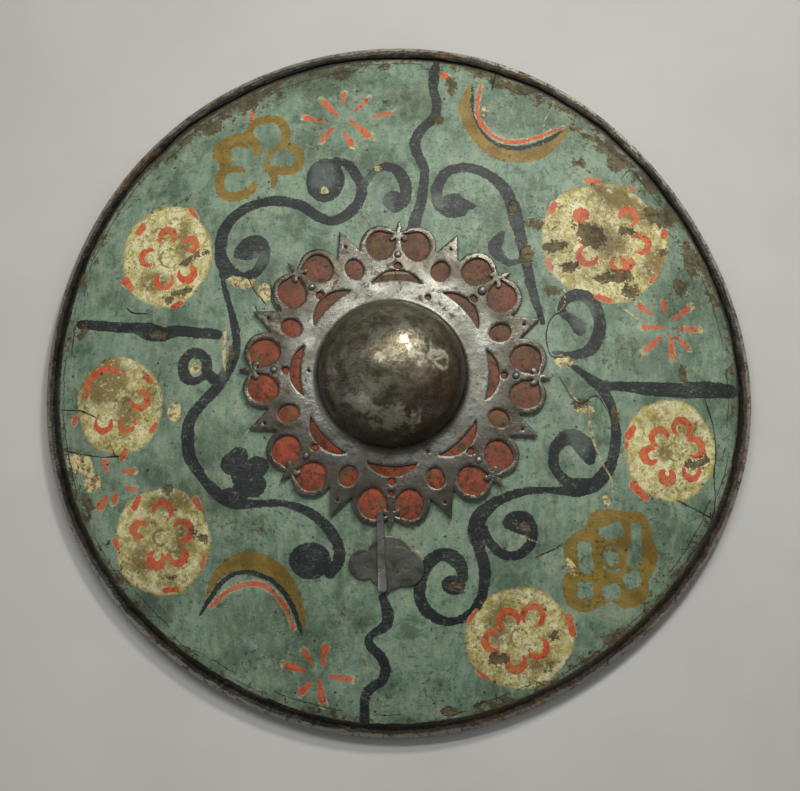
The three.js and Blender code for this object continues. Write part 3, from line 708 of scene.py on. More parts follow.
# How far the cream shows past the red: along and across a dab, past a ray and beside a band;
# and how far a rosette's dirt reaches past its edge
fringe = {"long": 1.8, "wide": 1.6, "ray": 2.0, "band": 2.6, "soil": 6.0}


def paintFields(spots):
    names = ("ink", "ochre", "cream", "red", "fringe", "brown", "pale", "paleLine", "stain", "ring", "chalk",
             "shade", "crackSide", "soil")
    fields = {name: np.full(len(spots), farOut) for name in names}
    for stroke in inkStrokes.values():
        brush(fields["ink"], spots, stroke)
    blobs(fields["ink"], spots, inkBlobs)
    for stroke in ochreStrokes:
        brush(fields["ochre"], spots, stroke)
    holes = np.full(len(spots), farOut)
    blobs(holes, spots, lattice["cells"])
    flower = polygonDepth(spots, smoothCurve([(x, y, 0) for x, y in lattice["outline"]], 3)[:, :2])
    np.maximum(fields["ochre"], np.minimum(flower, -holes), out=fields["ochre"])
    for stroke in lattice["strokes"]:
        brush(fields["ochre"], spots, stroke)
    fields["soil"][:] = 0
    for rosette in rosettes:
        cover = egg(spots, *rosette["oval"])
        np.maximum(fields["cream"], cover, out=fields["cream"])
        fields["soil"] = np.maximum(fields["soil"], rosette["soil"] * (cover > -fringe["soil"]))
        for row in rosette["petals"]:
            petal(fields["red"], spots, *row)
        for row in rosette["dabs"]:
            dab(fields["red"], spots, *row)
            x, y, length, lean, width = row
            dab(fields["fringe"], spots, x, y, length + fringe["long"], lean, width + fringe["wide"])
    for x1, y1, x2, y2, width in starRays:
        inner, outer = (x1, y1, width * 0.45), (x2, y2, width)
        brush(fields["red"], spots, [inner, outer], 1)
        past = [(x1 + 0.3 * (x2 - x1), y1 + 0.3 * (y2 - y1), width * 0.5)]
        past.append((x2 + 0.2 * (x2 - x1) + 0.5, y2 + 0.2 * (y2 - y1), width + fringe["ray"]))
        brush(fields["fringe"], spots, past, 1)
    for band in redBands:
        brush(fields["red"], spots, band)
        brush(fields["fringe"], spots, [(x, y, width + fringe["band"]) for x, y, width in band])
    blobs(fields["brown"], spots, brownLosses)
    blobs(fields["pale"], spots, paleLosses)
    blobs(fields["stain"], spots, creamStains)
    blobs(fields["chalk"], spots, chalkPatches)
    blobs(fields["shade"], spots, shadePatches)
    for line in paleLines:
        brush(fields["paleLine"], spots, line)
    for stroke in fadedRed:
        brush(fields["red"], spots, stroke)
    for x, y, radius in flowerRings:
        petal(fields["ring"], spots, x, y, radius, 0, 2.2, 20)
    fields["crackFar"] = np.full(len(spots), -farOut)
    for line in crackLines:
        curve = smoothCurve([(x, y, 0) for x, y in line], 3)[:, :2]
        for a, b in zip(curve, curve[1:]):
            near = np.flatnonzero((np.abs(spots - (a + b) / 2) < np.abs(b - a) / 2 - farOut).all(1))
            _, gap, side = nearestOnLine(spots[near], a, b)
            closer = gap < fields["crackFar"][near]
            fields["crackFar"][near[closer]] = gap[closer]
            fields["crackSide"][near[closer]] = np.sign(side[closer]) * gap[closer]
    turn = np.degrees(np.arctan2(spots[:, 0], spots[:, 1])) % 360
    turns, widths = zip(*edgeWear)
    fromLip = shield["lipInner"] - away(spots) / hoopScale(spots[:, 0], spots[:, 1])
    fields["fromLip"] = fromLip
    fields["edge"] = np.interp(turn, turns, widths) - fromLip
    return fields


# Noise from grain to cloud, shared by all the layers of paint
def paintNoises(bench):
    n = SimpleNamespace(
        grain=bench.mottle(2.3, 4, 0.75),
        crumb=bench.mottle(5.5, 5, 0.75),
        flake=bench.mottle(12, 6, 0.74, 0.6),
        patch=bench.mottle(20, 6, 0.68, 0.5),
        cloud=bench.mottle(60, 4, 0.6),
        dry=bench.mottle(6, 4, 0.65, where=bench.stretch((1.0, 0.3, 1.0), 24)),
    )
    n.ragged = bench.sum("ADD", bench.swing(n.flake, 0.7), bench.swing(n.grain, 0.45))
    n.torn = bench.sum("ADD", bench.swing(n.flake, 3.4), bench.swing(n.grain, 1.8))
    blend = bench.sum("ADD", bench.both(n.crumb, 0.6), bench.both(n.grain, 0.4))
    n.rubbed = bench.step(blend, 0.555, 0.6, 0, 0.8)
    return n


# Sage green, clouded, stained and dirty
def sageGround(bench, n):
    step, mix = bench.step, bench.mix
    ground = mix(step(n.cloud, 0.38, 0.62), colour(98, 122, 100), colour(125, 148, 125))
    ground = mix(step(n.patch, 0.51, 0.66, 0, 0.7), ground, colour(149, 162, 134))
    ground = mix(step(n.patch, 0.47, 0.34, 0, 0.75), ground, colour(72, 92, 70))
    shaded = step(bench.sum("ADD", bench.field("shade"), bench.swing(n.patch, 4.0)), -6.0, 8.0, 0, 0.45)
    ground = mix(shaded, ground, colour(76, 90, 68))
    ground = mix(step(n.dry, 0.5, 0.66, 0, 0.45), ground, colour(84, 105, 84))
    ground = mix(step(n.dry, 0.5, 0.36, 0, 0.35), ground, colour(158, 167, 138))
    ground = mix(step(n.crumb, 0.56, 0.66, 0, 0.5), ground, colour(92, 98, 68))
    ground = mix(step(n.grain, 0.55, 0.68, 0, 0.55), ground, colour(66, 80, 60))
    return mix(step(n.grain, 0.43, 0.3, 0, 0.4), ground, colour(164, 173, 150))


# Cream of the rosettes: mottled and stained yellow to olive
def rosetteCream(bench, n):
    step, mix = bench.step, bench.mix
    cream = mix(step(n.flake, 0.42, 0.6), colour(228, 219, 170), colour(200, 187, 112))
    stained = step(bench.sum("MULTIPLY_ADD", bench.field("soil"), 0.1, n.patch), 0.52, 0.68, 0, 0.75)
    cream = mix(stained, cream, colour(152, 133, 58))
    stained = step(bench.sum("ADD", bench.field("stain"), bench.swing(n.flake, 3.0)), -4.0, 8.0, 0, 0.85)
    cream = mix(stained, cream, colour(112, 90, 34))
    cream = mix(step(n.crumb, 0.5, 0.6, 0, 0.6), cream, colour(150, 130, 62))
    cream = mix(step(n.crumb, 0.46, 0.36, 0, 0.6), cream, colour(238, 230, 192))
    cream = mix(step(n.grain, 0.54, 0.62, 0, 0.65), cream, colour(104, 90, 42))
    cream = mix(bench.inside("ring", n.ragged), cream, colour(142, 128, 66))
    return mix(step(bench.field("cream"), 3.0, 0.0, 0, 0.5), cream, colour(140, 122, 58))


# Ochre, cream, ink and red over the ground, each rubbed, and a chalky haze over all
def drawnColours(bench, n, base, creamMask):
    step, mix, both, inside, total = bench.step, bench.mix, bench.both, bench.inside, bench.sum
    ochre = mix(step(n.patch, 0.38, 0.62), colour(118, 92, 22), colour(144, 118, 44))
    ochre = mix(step(n.grain, 0.54, 0.68, 0, 0.5), ochre, colour(88, 72, 24))
    base = mix(both(inside("ochre", n.ragged), total("SUBTRACT", 1.0, both(n.rubbed, 0.6))), base, ochre)
    base = mix(creamMask, base, rosetteCream(bench, n))
    ink = mix(step(n.flake, 0.42, 0.64), colour(10, 15, 16), colour(25, 34, 35))
    ink = mix(step(n.grain, 0.56, 0.7, 0, 0.5), ink, colour(66, 80, 74))
    base = mix(both(inside("ink", n.ragged), total("SUBTRACT", 0.98, both(n.rubbed, 0.75))), base, ink)
    fringeMask = both(inside("fringe", n.ragged), step(n.crumb, 0.38, 0.54, 0.95, 0.15))
    base = mix(fringeMask, base, mix(step(n.grain, 0.5, 0.64), colour(208, 194, 144), colour(150, 140, 92)))
    red = mix(step(n.crumb, 0.42, 0.6), colour(196, 60, 22), colour(214, 98, 46))
    red = mix(step(n.grain, 0.54, 0.64, 0, 0.75), red, colour(172, 140, 88))
    left = total("SUBTRACT", total("SUBTRACT", 0.96, both(n.rubbed, 0.8)), step(n.patch, 0.48, 0.62, 0, 0.18))
    base = mix(both(inside("red", n.ragged), left), base, red)
    chalk = step(total("ADD", bench.field("chalk"), bench.swing(n.flake, 3.5)), -3.0, 6.0, 0, 0.24)
    return mix(chalk, base, colour(146, 160, 148))


# Where the paint is gone down to the wood: drawn losses, the worn rim, and flakes where the soil is high
def lostPaint(bench, n, creamMask):
    step, total = bench.step, bench.sum
    edgeLevel = total("MULTIPLY_ADD", total("SUBTRACT", n.flake, 0.56), 110.0, bench.field("edge"))
    edgeLevel = total("ADD", edgeLevel, bench.swing(n.grain, 1.2))
    flakedLow = total("MULTIPLY_ADD", bench.both(bench.field("soil"), creamMask), -0.085, 0.685)
    flaked = step(total("MULTIPLY_ADD", n.grain, 0.12, n.flake), total("ADD", flakedLow, 0.06),
                  total("ADD", flakedLow, 0.075))
    lost = total("MAXIMUM", bench.inside("brown", n.torn), step(edgeLevel, 3.0, 6.0))
    return total("MAXIMUM", lost, flaked)


# Cracks drawn one by one, the lines that follow the rim, and a painted shadow line where the board runs in
# under its lip
def cracksAndLipShadow(bench, n):
    step, both, total = bench.step, bench.both, bench.sum
    line = total("ABSOLUTE", total("ADD", bench.field("crackSide"), bench.swing(n.crumb, 0.5)))
    wide = step(n.flake, 0.35, 0.65, 0.4, 1.1)
    mask = both(step(line, wide, both(wide, 0.5)), step(bench.field("crackFar"), 3.2, 2.4))
    for out, shown in ((4.8, step(n.cloud, 0.49, 0.53)), (9.0, step(n.cloud, 0.5, 0.46))):
        line = total("ADD", total("SUBTRACT", bench.field("fromLip"), out), bench.swing(n.patch, 1.1))
        line = step(total("ABSOLUTE", line), 0.6, 0.25)
        mask = total("MAXIMUM", mask, both(both(line, shown), 0.8))
    # painted shadow: dark where the board runs in under the rim's lip
    lipShadow = step(total("ADD", bench.field("fromLip"), bench.swing(n.flake, 1.2)), 2.0, 0.6)
    return total("MAXIMUM", mask, lipShadow)


def paintedBoard(bench):
    step, mix, both, total = bench.step, bench.mix, bench.both, bench.sum
    n = paintNoises(bench)
    creamWobble = total("ADD", bench.swing(n.flake, 1.5), bench.swing(n.grain, 0.8))
    creamMask = bench.inside("cream", creamWobble, 0.4)
    base = drawnColours(bench, n, sageGround(bench, n), creamMask)

    # Losses to the pale ground and to brown wood, and the dark lines: cracks, and painted shadow under the
    # rim's lip
    paleMask = bench.inside("pale", total("ADD", bench.swing(n.flake, 1.6), bench.swing(n.grain, 0.9)))
    lineMask = bench.inside("paleLine", bench.swing(n.crumb, 0.22), 0.35)
    pale = mix(step(n.crumb, 0.44, 0.58), colour(214, 198, 144), colour(120, 102, 60))
    base = mix(total("MAXIMUM", paleMask, both(lineMask, 0.85)), base, pale)
    wood = mix(step(n.crumb, 0.42, 0.6), colour(104, 88, 54), colour(60, 51, 33))
    lost = lostPaint(bench, n, creamMask)
    base = mix(both(lost, 0.94), base, wood)
    base = mix(cracksAndLipShadow(bench, n), base, colour(22, 19, 13))

    # Dirt over everything, then the board darker towards the rim
    base = bench.marked(base, dirtGroup, 0.65, (54, 52, 34), Scale=260.0, Amount=0.24)
    base = bench.marked(base, speckGroup, 0.85, (44, 40, 25), Scale=120.0, Radius=0.17, Share=0.26)
    base = bench.marked(base, scratchGroup, 1.0, (176, 180, 154), Scale=36.0, Amount=0.2)
    base = mix(step(n.cloud, 0.5, 0.36, 0, 0.35), base, colour(132, 134, 104), "MULTIPLY")
    # darker towards the rim, more so deep in the worn band
    base = mix(step(bench.field("edge"), 2.0, 18.0, 0, 0.4), base, colour(60, 54, 34))

    drawn = total("MAXIMUM", bench.field("brown"), bench.field("pale"))
    height = total("MULTIPLY_ADD", n.grain, 0.3, both(n.patch, 0.8))
    height = total("MULTIPLY_ADD", step(drawn, -0.6, 0.6), -0.35, height)
    rough = total("MULTIPLY_ADD", lost, 0.2, step(n.grain, 0.3, 0.7, 0.46, 0.64))
    return bench.finish(base, rough, height, 0.8)


def bareWood(bench):
    warp = bench.mottle(60, 2, 0.5, where=bench.stretch((1.0, 0.25, 1.0)))
    plugs = {"Vector": bench.stretch((1.0, 0.12, 1.0)), "Scale": 45.0, "Distortion": 9.0, "Detail": 3.0,
             "Detail Scale": 1.4}
    along = bench.put("ShaderNodeTexWave", plugs, bands_direction="X").outputs[1]
    fibre = bench.mottle(1.6, 5, 0.7, where=bench.stretch((1.0, 0.04, 1.0)))
    base = bench.mix(bench.step(along, 0.2, 0.9, 0, 0.6), colour(122, 92, 60), colour(92, 66, 40))
    base = bench.mix(bench.step(fibre, 0.46, 0.66, 0, 0.6), base, colour(64, 44, 27))
    base = bench.mix(bench.step(warp, 0.45, 0.7, 0, 0.6), base, colour(78, 60, 40))
    base = bench.marked(base, dirtGroup, 0.7, (36, 28, 18), Scale=140.0, Amount=0.26)
    plugs = {"Vector": bench.stretch((1.0, 0.4, 1.0)), "Scale": 70.0, "Smoothness": 0.6}
    gouge = bench.put("ShaderNodeTexVoronoi", plugs, feature="SMOOTH_F1").outputs[0]
    height = bench.sum("MULTIPLY_ADD", gouge, 0.9, bench.both(fibre, 0.25))
    return bench.finish(base, bench.step(fibre, 0.3, 0.7, 0.6, 0.8), height, 0.7)


board = {
    "sides": 800,
    "coarseOut": 104.0,
    "roundedHole": 1.2,
    "faceRings": 98,
    "coarseRings": 6,
    "backRings": 17,
    "unevenSize": 55.0,
    "unevenDepth": 0.45,
    "evenEdge": 12.0,
    "lossDepth": 0.3,
    "crackDepth": 0.6,
}


def makeBoard():
    hole, edge, thick = shield["handHole"], shield["boardRadius"], shield["boardThick"]
    rounding = board["roundedHole"]
    back = [(out, -thick) for out in np.linspace(hole + rounding, edge, board["backRings"])]
    fine = [(out, 0.0) for out in np.linspace(edge, board["coarseOut"], board["faceRings"])]
    coarse = [(out, 0.0) for out in np.linspace(board["coarseOut"], hole, board["coarseRings"])[1:]]
    profile = np.array([(hole, rounding - thick)] + back + fine + coarse)
    turn = turnsOf(board["sides"])
    out, lift = (column[:, None] + 0 * turn for column in profile.T)
    x, y = spun(out, turn)
    out, lift = out.ravel(), lift.ravel()
    onFace = lift == 0
    scale = hoopScale(x, y)
    spots = np.stack([x * scale, y * scale], 1)
    fields = paintFields(spots)
    dip = board["unevenDepth"] * (0.5 + 0.5 * unevenness(np.column_stack([x, y]), board["unevenSize"], 3))
    dip += board["lossDepth"] * np.maximum(ease(fields["brown"], -1, 1), ease(fields["pale"], -1, 1))
    dip += board["crackDepth"] * ease(fields["crackFar"], 2.2, 0.4)
    dip *= ease(out, edge, edge - board["evenEdge"]) * onFace
    z = dishZ(out, lift) - dip
    quads = ringQuads(len(profile), board["sides"])
    painted = (onFace[quads].all(1)).astype(int)
    materials = [newMaterial("bareWoodBack", bareWood), newMaterial("paintedFace", paintedBoard)]
    piece = makePiece("paintedBoard", np.column_stack([spots, z]), quads, materials, 50, fields, painted)
    seat(piece, "painted_board", "board")


makeBoard()
print("board painted")

# The iron rim band

rim = {
    "sides": 1200,
    "thick": 1.8,
    "lip": 10.0,
    "raggedLip": 1.3,
    "hammerSize": 16.0,
    "hammerDepth": 0.6,
    "lipRise": 0.9,
    "corner": 0.9,
    "bevel": 0.25,
    "topRows": 8,
}


def rimIron(bench):
    aged = bench.group(ironGroup, Scale=45.0, Rust=0.22)
    parts = bench.put("ShaderNodeSeparateXYZ", {0: bench.where}).outputs
    base = bench.mix(aged["Cloud"], colour(48, 45, 36), colour(98, 94, 82))
    outer = bench.sum("ADD", bench.swing(bench.mottle(16, 6, 0.7, 0.4), 0.16), bench.field("outer"))
    # the lip lighter towards its outer edge: worn steel, and a painted highlight along the rounded edge
    base = bench.mix(bench.step(outer, 0.58, 0.8, 0, 0.85), base, colour(172, 168, 154))
    base = bench.marked(base, scratchGroup, 0.8, (182, 182, 174), Scale=55.0, Amount=1.0)
    lowRight = bench.step(bench.sum("SUBTRACT", parts[0], parts[1]), 0.2, 0.4)
    brown = bench.mix(bench.step(bench.mottle(4, 5, 0.7), 0.4, 0.6), colour(78, 54, 32), colour(116, 84, 52))
    rust = bench.sum("MULTIPLY_ADD", lowRight, 0.35, aged["Rust"])
    rust = bench.sum("MINIMUM", rust, 0.9)
    base = bench.mix(rust, base, brown)
    crust = bench.step(bench.mottle(9, 6, 0.75, 0.5), 0.53, 0.59, 0, 0.8)
    base = bench.mix(crust, base, colour(52, 45, 32))
    base = bench.mix(aged["Pits"], base, colour(30, 27, 20))
    # the lip darker towards its inner edge: painted shade where it meets the board
    base = bench.mix(bench.step(outer, 0.34, 0.12, 0, 0.85), base, colour(26, 23, 16))
    dull = bench.sum("MAXIMUM", rust, crust)
    rough = bench.sum("MULTIPLY_ADD", dull, 0.3, bench.step(aged["Cloud"], 0, 1, 0.5, 0.36))
    metal = bench.sum("SUBTRACT", 0.9, bench.both(dull, 0.7))
    return bench.finish(base, rough, bench.both(bench.mottle(5, 5, 0.65), 1.1), 0.9, metal)


def makeRim():
    sides, thick, lip = rim["sides"], rim["thick"], rim["lip"]
    edge, inner = shield["radius"], shield["radius"] - lip
    front = shield["clearance"]
    topLift = front + thick
    corner, bevel = rim["corner"], rim["bevel"]
    wallTop = float(dishZ(edge, topLift))

    def onDish(out, lift, ragged, rise):
        return out, float(dishZ(out, lift)), ragged, rise

    # rows are distance from the axis, height, and how much of the lip's raggedness and rise the row takes
    rows = [(inner, 0.0, 0, 0), (edge - 3, 0.0, 0, 0), (edge - corner, 0.0, 0, 0), (edge - bevel, 0.3, 0, 0)]
    rows += [(edge, corner, 0, 0)] + [(edge, z, 0, 0) for z in np.linspace(4, wallTop - 2.0, 4)]
    rows += [(edge - bevel, wallTop - corner, 0, 0), onDish(edge - corner, topLift, 0, 0.1)]
    for step in range(1, rim["topRows"] + 1):
        share = step / rim["topRows"]
        rows.append(onDish(edge - corner - (lip - 1.3) * share, topLift, share, share))
    rows += [onDish(inner, topLift - 0.5, 1, 1), onDish(inner, front + 0.3, 1, 1)]
    rows += [onDish(inner + 0.4, front, 1, 1), onDish(inner + 4, front, 0.4, 0.5)]
    rows.append(onDish(edge - thick, front, 0, 0))
    rows += [(edge - thick, thick, 0, 0), (inner, thick, 0, 0)]
    rows = np.array(rows)
    turn = turnsOf(sides)
    out, z, ragged, rise = (column[:, None] + 0 * turn for column in rows.T)
    circle = np.column_stack(spun(edge, turn))
    wander = unevenness(circle, 34, 5) + 0.6 * unevenness(circle, 11, 6)
    lifted = np.clip(0.35 + unevenness(circle, 46, 8), 0, 1) * rim["lipRise"]
    out = out + rim["raggedLip"] * wander * ragged
    z = z + lifted * rise
    x, y = spun(out, turn)
    places = np.column_stack([x, y, z.ravel()])
    dent = rim["hammerDepth"] * (0.5 + 0.5 * unevenness(places, rim["hammerSize"], 11))
    dent += 0.5 * rim["hammerDepth"] * (0.5 + 0.5 * unevenness(places, 6, 12))
    reach = np.hypot(x, y)
    dent = dent * ((places[:, 2] > thick * 1.01) | (reach > edge - 1))
    shrink = 1 - dent * (reach > edge - 0.5) / reach
    top = ((z.ravel() > wallTop - 1.2) & (reach < edge - 0.5)) & (places[:, 2] > thick * 1.01)
    scale = hoopScale(x, y) * shrink
    places = np.column_stack([x * scale, y * scale, places[:, 2] - 0.5 * dent * top * (ragged.ravel() < 1)])
    quads = ringQuads(len(rows), sides)
    outer = np.where(places[:, 2] > 6, ease(reach, edge - lip, edge), 0.3)
    piece = makePiece("ironRim", places, quads, [newMaterial("hammeredRim", rimIron)], 35, {"outer": outer})
    seat(piece, "rim_iron", "rim_band")


makeRim()
print("rim hammered")

# The pierced boss plate: units of two arches, a saddle, a lily tip, a half-moon and a keyhole,
# with rays between

plate = {
    "turn": 1.5,
    "units": 8,
    "thick": 1.8,
    "lift": 2.0,
    "disc": 109.0,
    # "way" is how far the flat sheet's middle is stretched over the dome, from its foot to its crown
    "dome": {"x": -2.0, "y": -2.5, "radius": 61.0, "height": 58.0, "fillet": 5.0, "way": 92.0},
    "oval": {"aside": 15.4, "out": 108.6, "halfWidth": 11.3, "halfLength": 12.8},
    "archBand": (5.3, 4.6),
    "saddle": [(-10, 112), (10, 112), (10, 124.2), (0, 120.5), (-10, 124.2)],
    "crescent": {"halfWidth": 21.2, "inner": 78.0, "crest": 87.0},
    "keyhole": {"out": 90.5, "radius": 3.2},
    "smallOval": {"out": 94.0, "halfWidth": 7.6, "halfLength": 9.0},
    "ray": {"tip": 130.5, "base": 106.0, "halfAngle": 24.0},
    "rayHole": {"out": 115.4, "radius": 1.0},
    "lily": {"foot": 113.5, "neck": 119.6, "tip": 130.8, "stem": 1.2, "spear": 2.4, "reach": 7.2},
    "bentLily": {"unit": 1, "lean": 14.0, "pivot": 113.0},
    "nailOut": 100.5,
    "nailHole": 1.7,
    "lostUnit": 4,
    "lostHole": 2.6,
    "flangeHoles": [(23.6, 69.0, 2.4), (157.8, 71.5, 1.6), (271.0, 71.0, 1.2)],
    "archDots": [(-9.6, -114.5, 1.1), (3.5, -114.5, 1.3)],
    # worn pale patches on the dome: strokes of x, y and width
    "polished": [[(18, 8, 12), (31, 6, 18), (38, -2, 10)],
                 [(-36, -26, 8), (-20, -38, 12), (-2, -44, 14), (16, -46, 10)],
                 [(-50, -11, 1), (-49, -10, 1.5)]],
    "cutSize": 0.8,
    "edgeRows": (0.0, 0.22, 0.55),
    "edgeDrop": 0.5,
    "filing": 0.3,
    # how far the wavy flange and the dented dome stand off the smooth solid
    "spare": 0.15,
    "domeSpare": 0.62,
    # the east arch's edge is torn
    "torn": {"x": 112.0, "y": 14.0, "spread": 90.0, "depth": 1.6},
    # half the sheet's width, and the spacing of its inner points on the flange and on the dome
    "sheetHalf": 134.0,
    "flangeStep": 2.3,
    "domeStep": 1.35,
    "domeSpacing": 2.1,
    "domeMesh": 69.5,
}
plateTop = plate["lift"] + plate["thick"]


def lilyCorners():
    s = plate["lily"]
    stem, spear, reach, neck = s["stem"], s["spear"], s["reach"], s["neck"]
    right = [(stem, s["foot"]), (stem, neck - 4.4), (reach * 0.45, neck - 4.8), (reach * 0.72, neck - 6.8),
             (reach, neck - 5.8), (reach, neck - 2.8), (reach * 0.72, neck - 0.9), (reach * 0.3, neck - 0.6),
             (spear * 0.55, neck + 0.8), (spear, neck + 3.2), (spear * 0.8, neck + 6)]
    return right + [(0, s["tip"])] + [(-across, out) for across, out in reversed(right)]


# Places in the plate's repeating unit: across and along its middle line, the same from the nearest ray's
# line, and the unit's number
def unitPlaces(spots):
    step = 360 / plate["units"]
    out = away(spots)
    turn = np.degrees(np.arctan2(spots[:, 0], spots[:, 1])) - plate["turn"]
    unit = np.round(turn / step)
    a = np.radians(turn - unit * step)
    b = np.radians(np.abs(turn - unit * step) - step / 2)
    local = np.column_stack([out * np.sin(a), out * np.cos(a)])
    rayLocal = np.column_stack([out * np.sin(b), out * np.cos(b)])
    return local, rayLocal, unit.astype(int) % plate["units"]


def plateMetal(spots, local, half, rayLocal):
    oval, ray = plate["oval"], plate["ray"]
    widen, lengthen = plate["archBand"]
    base = (ray["tip"] - ray["base"]) * math.tan(math.radians(ray["halfAngle"]))
    return np.maximum.reduce([
        plate["disc"] - away(spots),
        egg(half, oval["aside"], oval["out"], oval["halfWidth"] + widen, oval["halfLength"] + lengthen),
        polygonDepth(local, plate["saddle"]),
        polygonDepth(rayLocal, [(-base, ray["base"]), (base, ray["base"]), (0, ray["tip"])]),
    ])


def plateHoles(spots, local, half, rayLocal, unit):
    oval, lily, moon = plate["oval"], plate["lily"], plate["crescent"]
    small, rayHole, keyhole = plate["smallOval"], plate["rayHole"], plate["keyhole"]
    corner = [(oval["aside"] - oval["halfWidth"], oval["out"] - 5), (lily["stem"], lily["neck"] - 1),
              (oval["aside"] * 0.75, oval["out"] + oval["halfLength"] * 0.93), (oval["aside"], oval["out"])]
    rise = moon["crest"] - math.sqrt(moon["inner"] ** 2 - moon["halfWidth"] ** 2)
    bulge = (moon["halfWidth"] ** 2 + rise ** 2) / (2 * rise)
    nailHole = np.where(unit == plate["lostUnit"], plate["lostHole"], plate["nailHole"])
    holes = [
        egg(half, oval["aside"], oval["out"], oval["halfWidth"], oval["halfLength"]),
        polygonDepth(half, corner),
        np.minimum(away(spots) - moon["inner"], bulge - away(local, 0, moon["crest"] - bulge)),
        keyhole["radius"] - away(local, 0, keyhole["out"]),
        egg(rayLocal, 0, small["out"], small["halfWidth"], small["halfLength"]),
        rayHole["radius"] - away(rayLocal, 0, rayHole["out"]),
        nailHole - away(local, 0, plate["nailOut"]),
    ]
    for turn, out, radius in plate["flangeHoles"]:
        turn = math.radians(turn)
        holes.append(radius - away(spots, out * math.sin(turn), out * math.cos(turn)))
    holes += [radius - away(spots, x, y) for x, y, radius in plate["archDots"]]
    return np.maximum.reduce(holes)


# The lily tips, one of them bent aside
def lilyTips(local, unit):
    bent = plate["bentLily"]
    lean = np.where(unit == bent["unit"], math.radians(bent["lean"]), 0.0)
    across, up = local[:, 0], local[:, 1] - bent["pivot"]
    leaning = np.column_stack([across * np.cos(lean) - up * np.sin(lean),
                               bent["pivot"] + across * np.sin(lean) + up * np.cos(lean)])
    near = local[:, 1] > plate["lily"]["foot"] - 6
    tips = np.full(len(local), farOut)
    tips[near] = polygonDepth(leaning[near], lilyCorners()) + 0.15
    return tips


# How deep a flat spot lies in the plate's metal; openings and the ground outside are below zero
def plateDepth(spots):
    local, rayLocal, unit = unitPlaces(spots)
    half = np.column_stack([np.abs(local[:, 0]), local[:, 1]])
    holes = plateHoles(spots, local, half, rayLocal, unit)
    depth = np.minimum(plateMetal(spots, local, half, rayLocal), -holes)
    return np.maximum(depth, lilyTips(local, unit))


def filedPlateDepth(spots):
    torn = plate["torn"]
    near = np.exp(-away(spots, torn["x"], torn["y"]) ** 2 / torn["spread"])
    ragged = plate["filing"] * unevenness(spots, 7, 21) + torn["depth"] * near * unevenness(spots, 3.5, 22)
    return plateDepth(spots) + ragged


# Marching squares: the points where a level crosses a grid's lines, and the pairs of points that join up
def levelLine(depth, xs, ys, level):
    above = depth > level
    points, pairs = [], []
    number = {}

    def crossing(j, i, dj, di):
        key = (j, i, dj)
        if key not in number:
            d0, d1 = depth[j, i] - level, depth[j + dj, i + di] - level
            t = min(max(d0 / (d0 - d1), 0.08), 0.92)
            number[key] = len(points)
            points.append((xs[i] + t * di * (xs[1] - xs[0]), ys[j] + t * dj * (ys[1] - ys[0])))
        return number[key]

    square = above[:-1, :-1].astype(int) + above[:-1, 1:] + above[1:, :-1] + above[1:, 1:]
    for j, i in zip(*np.nonzero((square > 0) & (square < 4))):
        sides = []
        if above[j, i] != above[j, i + 1]:
            sides.append(crossing(j, i, 0, 1))
        if above[j, i + 1] != above[j + 1, i + 1]:
            sides.append(crossing(j, i + 1, 1, 0))
        if above[j + 1, i] != above[j + 1, i + 1]:
            sides.append(crossing(j + 1, i, 0, 1))
        if above[j, i] != above[j + 1, i]:
            sides.append(crossing(j, i, 1, 0))
        if len(sides) == 2:
            pairs.append(tuple(sides))
        elif above[j, i] == (depth[j:j + 2, i:i + 2].mean() > level):
            pairs += [(sides[0], sides[1]), (sides[2], sides[3])]
        else:
            pairs += [(sides[3], sides[0]), (sides[1], sides[2])]
    return points, pairs


# Cuts a flat sheet to a depth function, with a rounded edge, and forms it with place(spots, below the top)
def cutSheet(depthOf, box, spec, filling, thick, place):
    xs = np.arange(box[0], box[2], spec["cutSize"])
    ys = np.arange(box[1], box[3], spec["cutSize"])
    gx, gy = np.meshgrid(xs, ys)
    depth = depthOf(np.column_stack([gx.ravel(), gy.ravel()])).reshape(gx.shape)
    points, pairs = [], []
    for level in spec["edgeRows"]:
        rowPoints, rowPairs = levelLine(depth, xs, ys, level)
        pairs += [(a + len(points), b + len(points)) for a, b in rowPairs]
        points += rowPoints
    points += filling[depthOf(filling) > spec["edgeRows"][-1] + 0.6].tolist()
    cut = geometry.delaunay_2d_cdt([Vector(p) for p in points], pairs, [], 0, 1e-5)
    spots = np.array([tuple(v) for v in cut[0]])
    triangles = np.array(cut[2])
    middles = spots[triangles].mean(1)
    triangles = triangles[depthOf(middles) > 0.0]
    used, triangles = np.unique(triangles, return_inverse=True)
    spots, triangles = spots[used], triangles.reshape(-1, 3)
    a, b, c = (spots[triangles[:, k]] for k in range(3))
    turned = (b[:, 0] - a[:, 0]) * (c[:, 1] - a[:, 1]) - (b[:, 1] - a[:, 1]) * (c[:, 0] - a[:, 0]) < 0
    triangles[turned] = triangles[turned][:, ::-1]
    deep = depthOf(spots)
    drop = spec["edgeDrop"] * (1 - ease(deep, 0, spec["edgeRows"][-1]))
    top, bottom = place(spots, drop), place(spots, np.full(len(spots), thick))
    edges = np.concatenate([triangles[:, [0, 1]], triangles[:, [1, 2]], triangles[:, [2, 0]]])
    keys = np.sort(edges, 1)
    _, first, counts = np.unique(keys, axis=0, return_index=True, return_counts=True)
    rim = edges[first[counts == 1]]
    count = len(spots)
    walls = np.column_stack([rim[:, 1], rim[:, 0], rim[:, 0] + count, rim[:, 1] + count])
    faces = triangles.tolist() + (triangles[:, ::-1] + count).tolist() + walls.tolist()
    return np.vstack([top, bottom]), faces, np.concatenate([deep, np.full(count, 0.0)]), spots


def hexPoints(box, size):
    rows, columns = np.arange(box[1], box[3], size * 0.866), np.arange(box[0], box[2], size)
    return np.array([(x + size / 2 * (k % 2), y) for k, y in enumerate(rows) for x in columns])


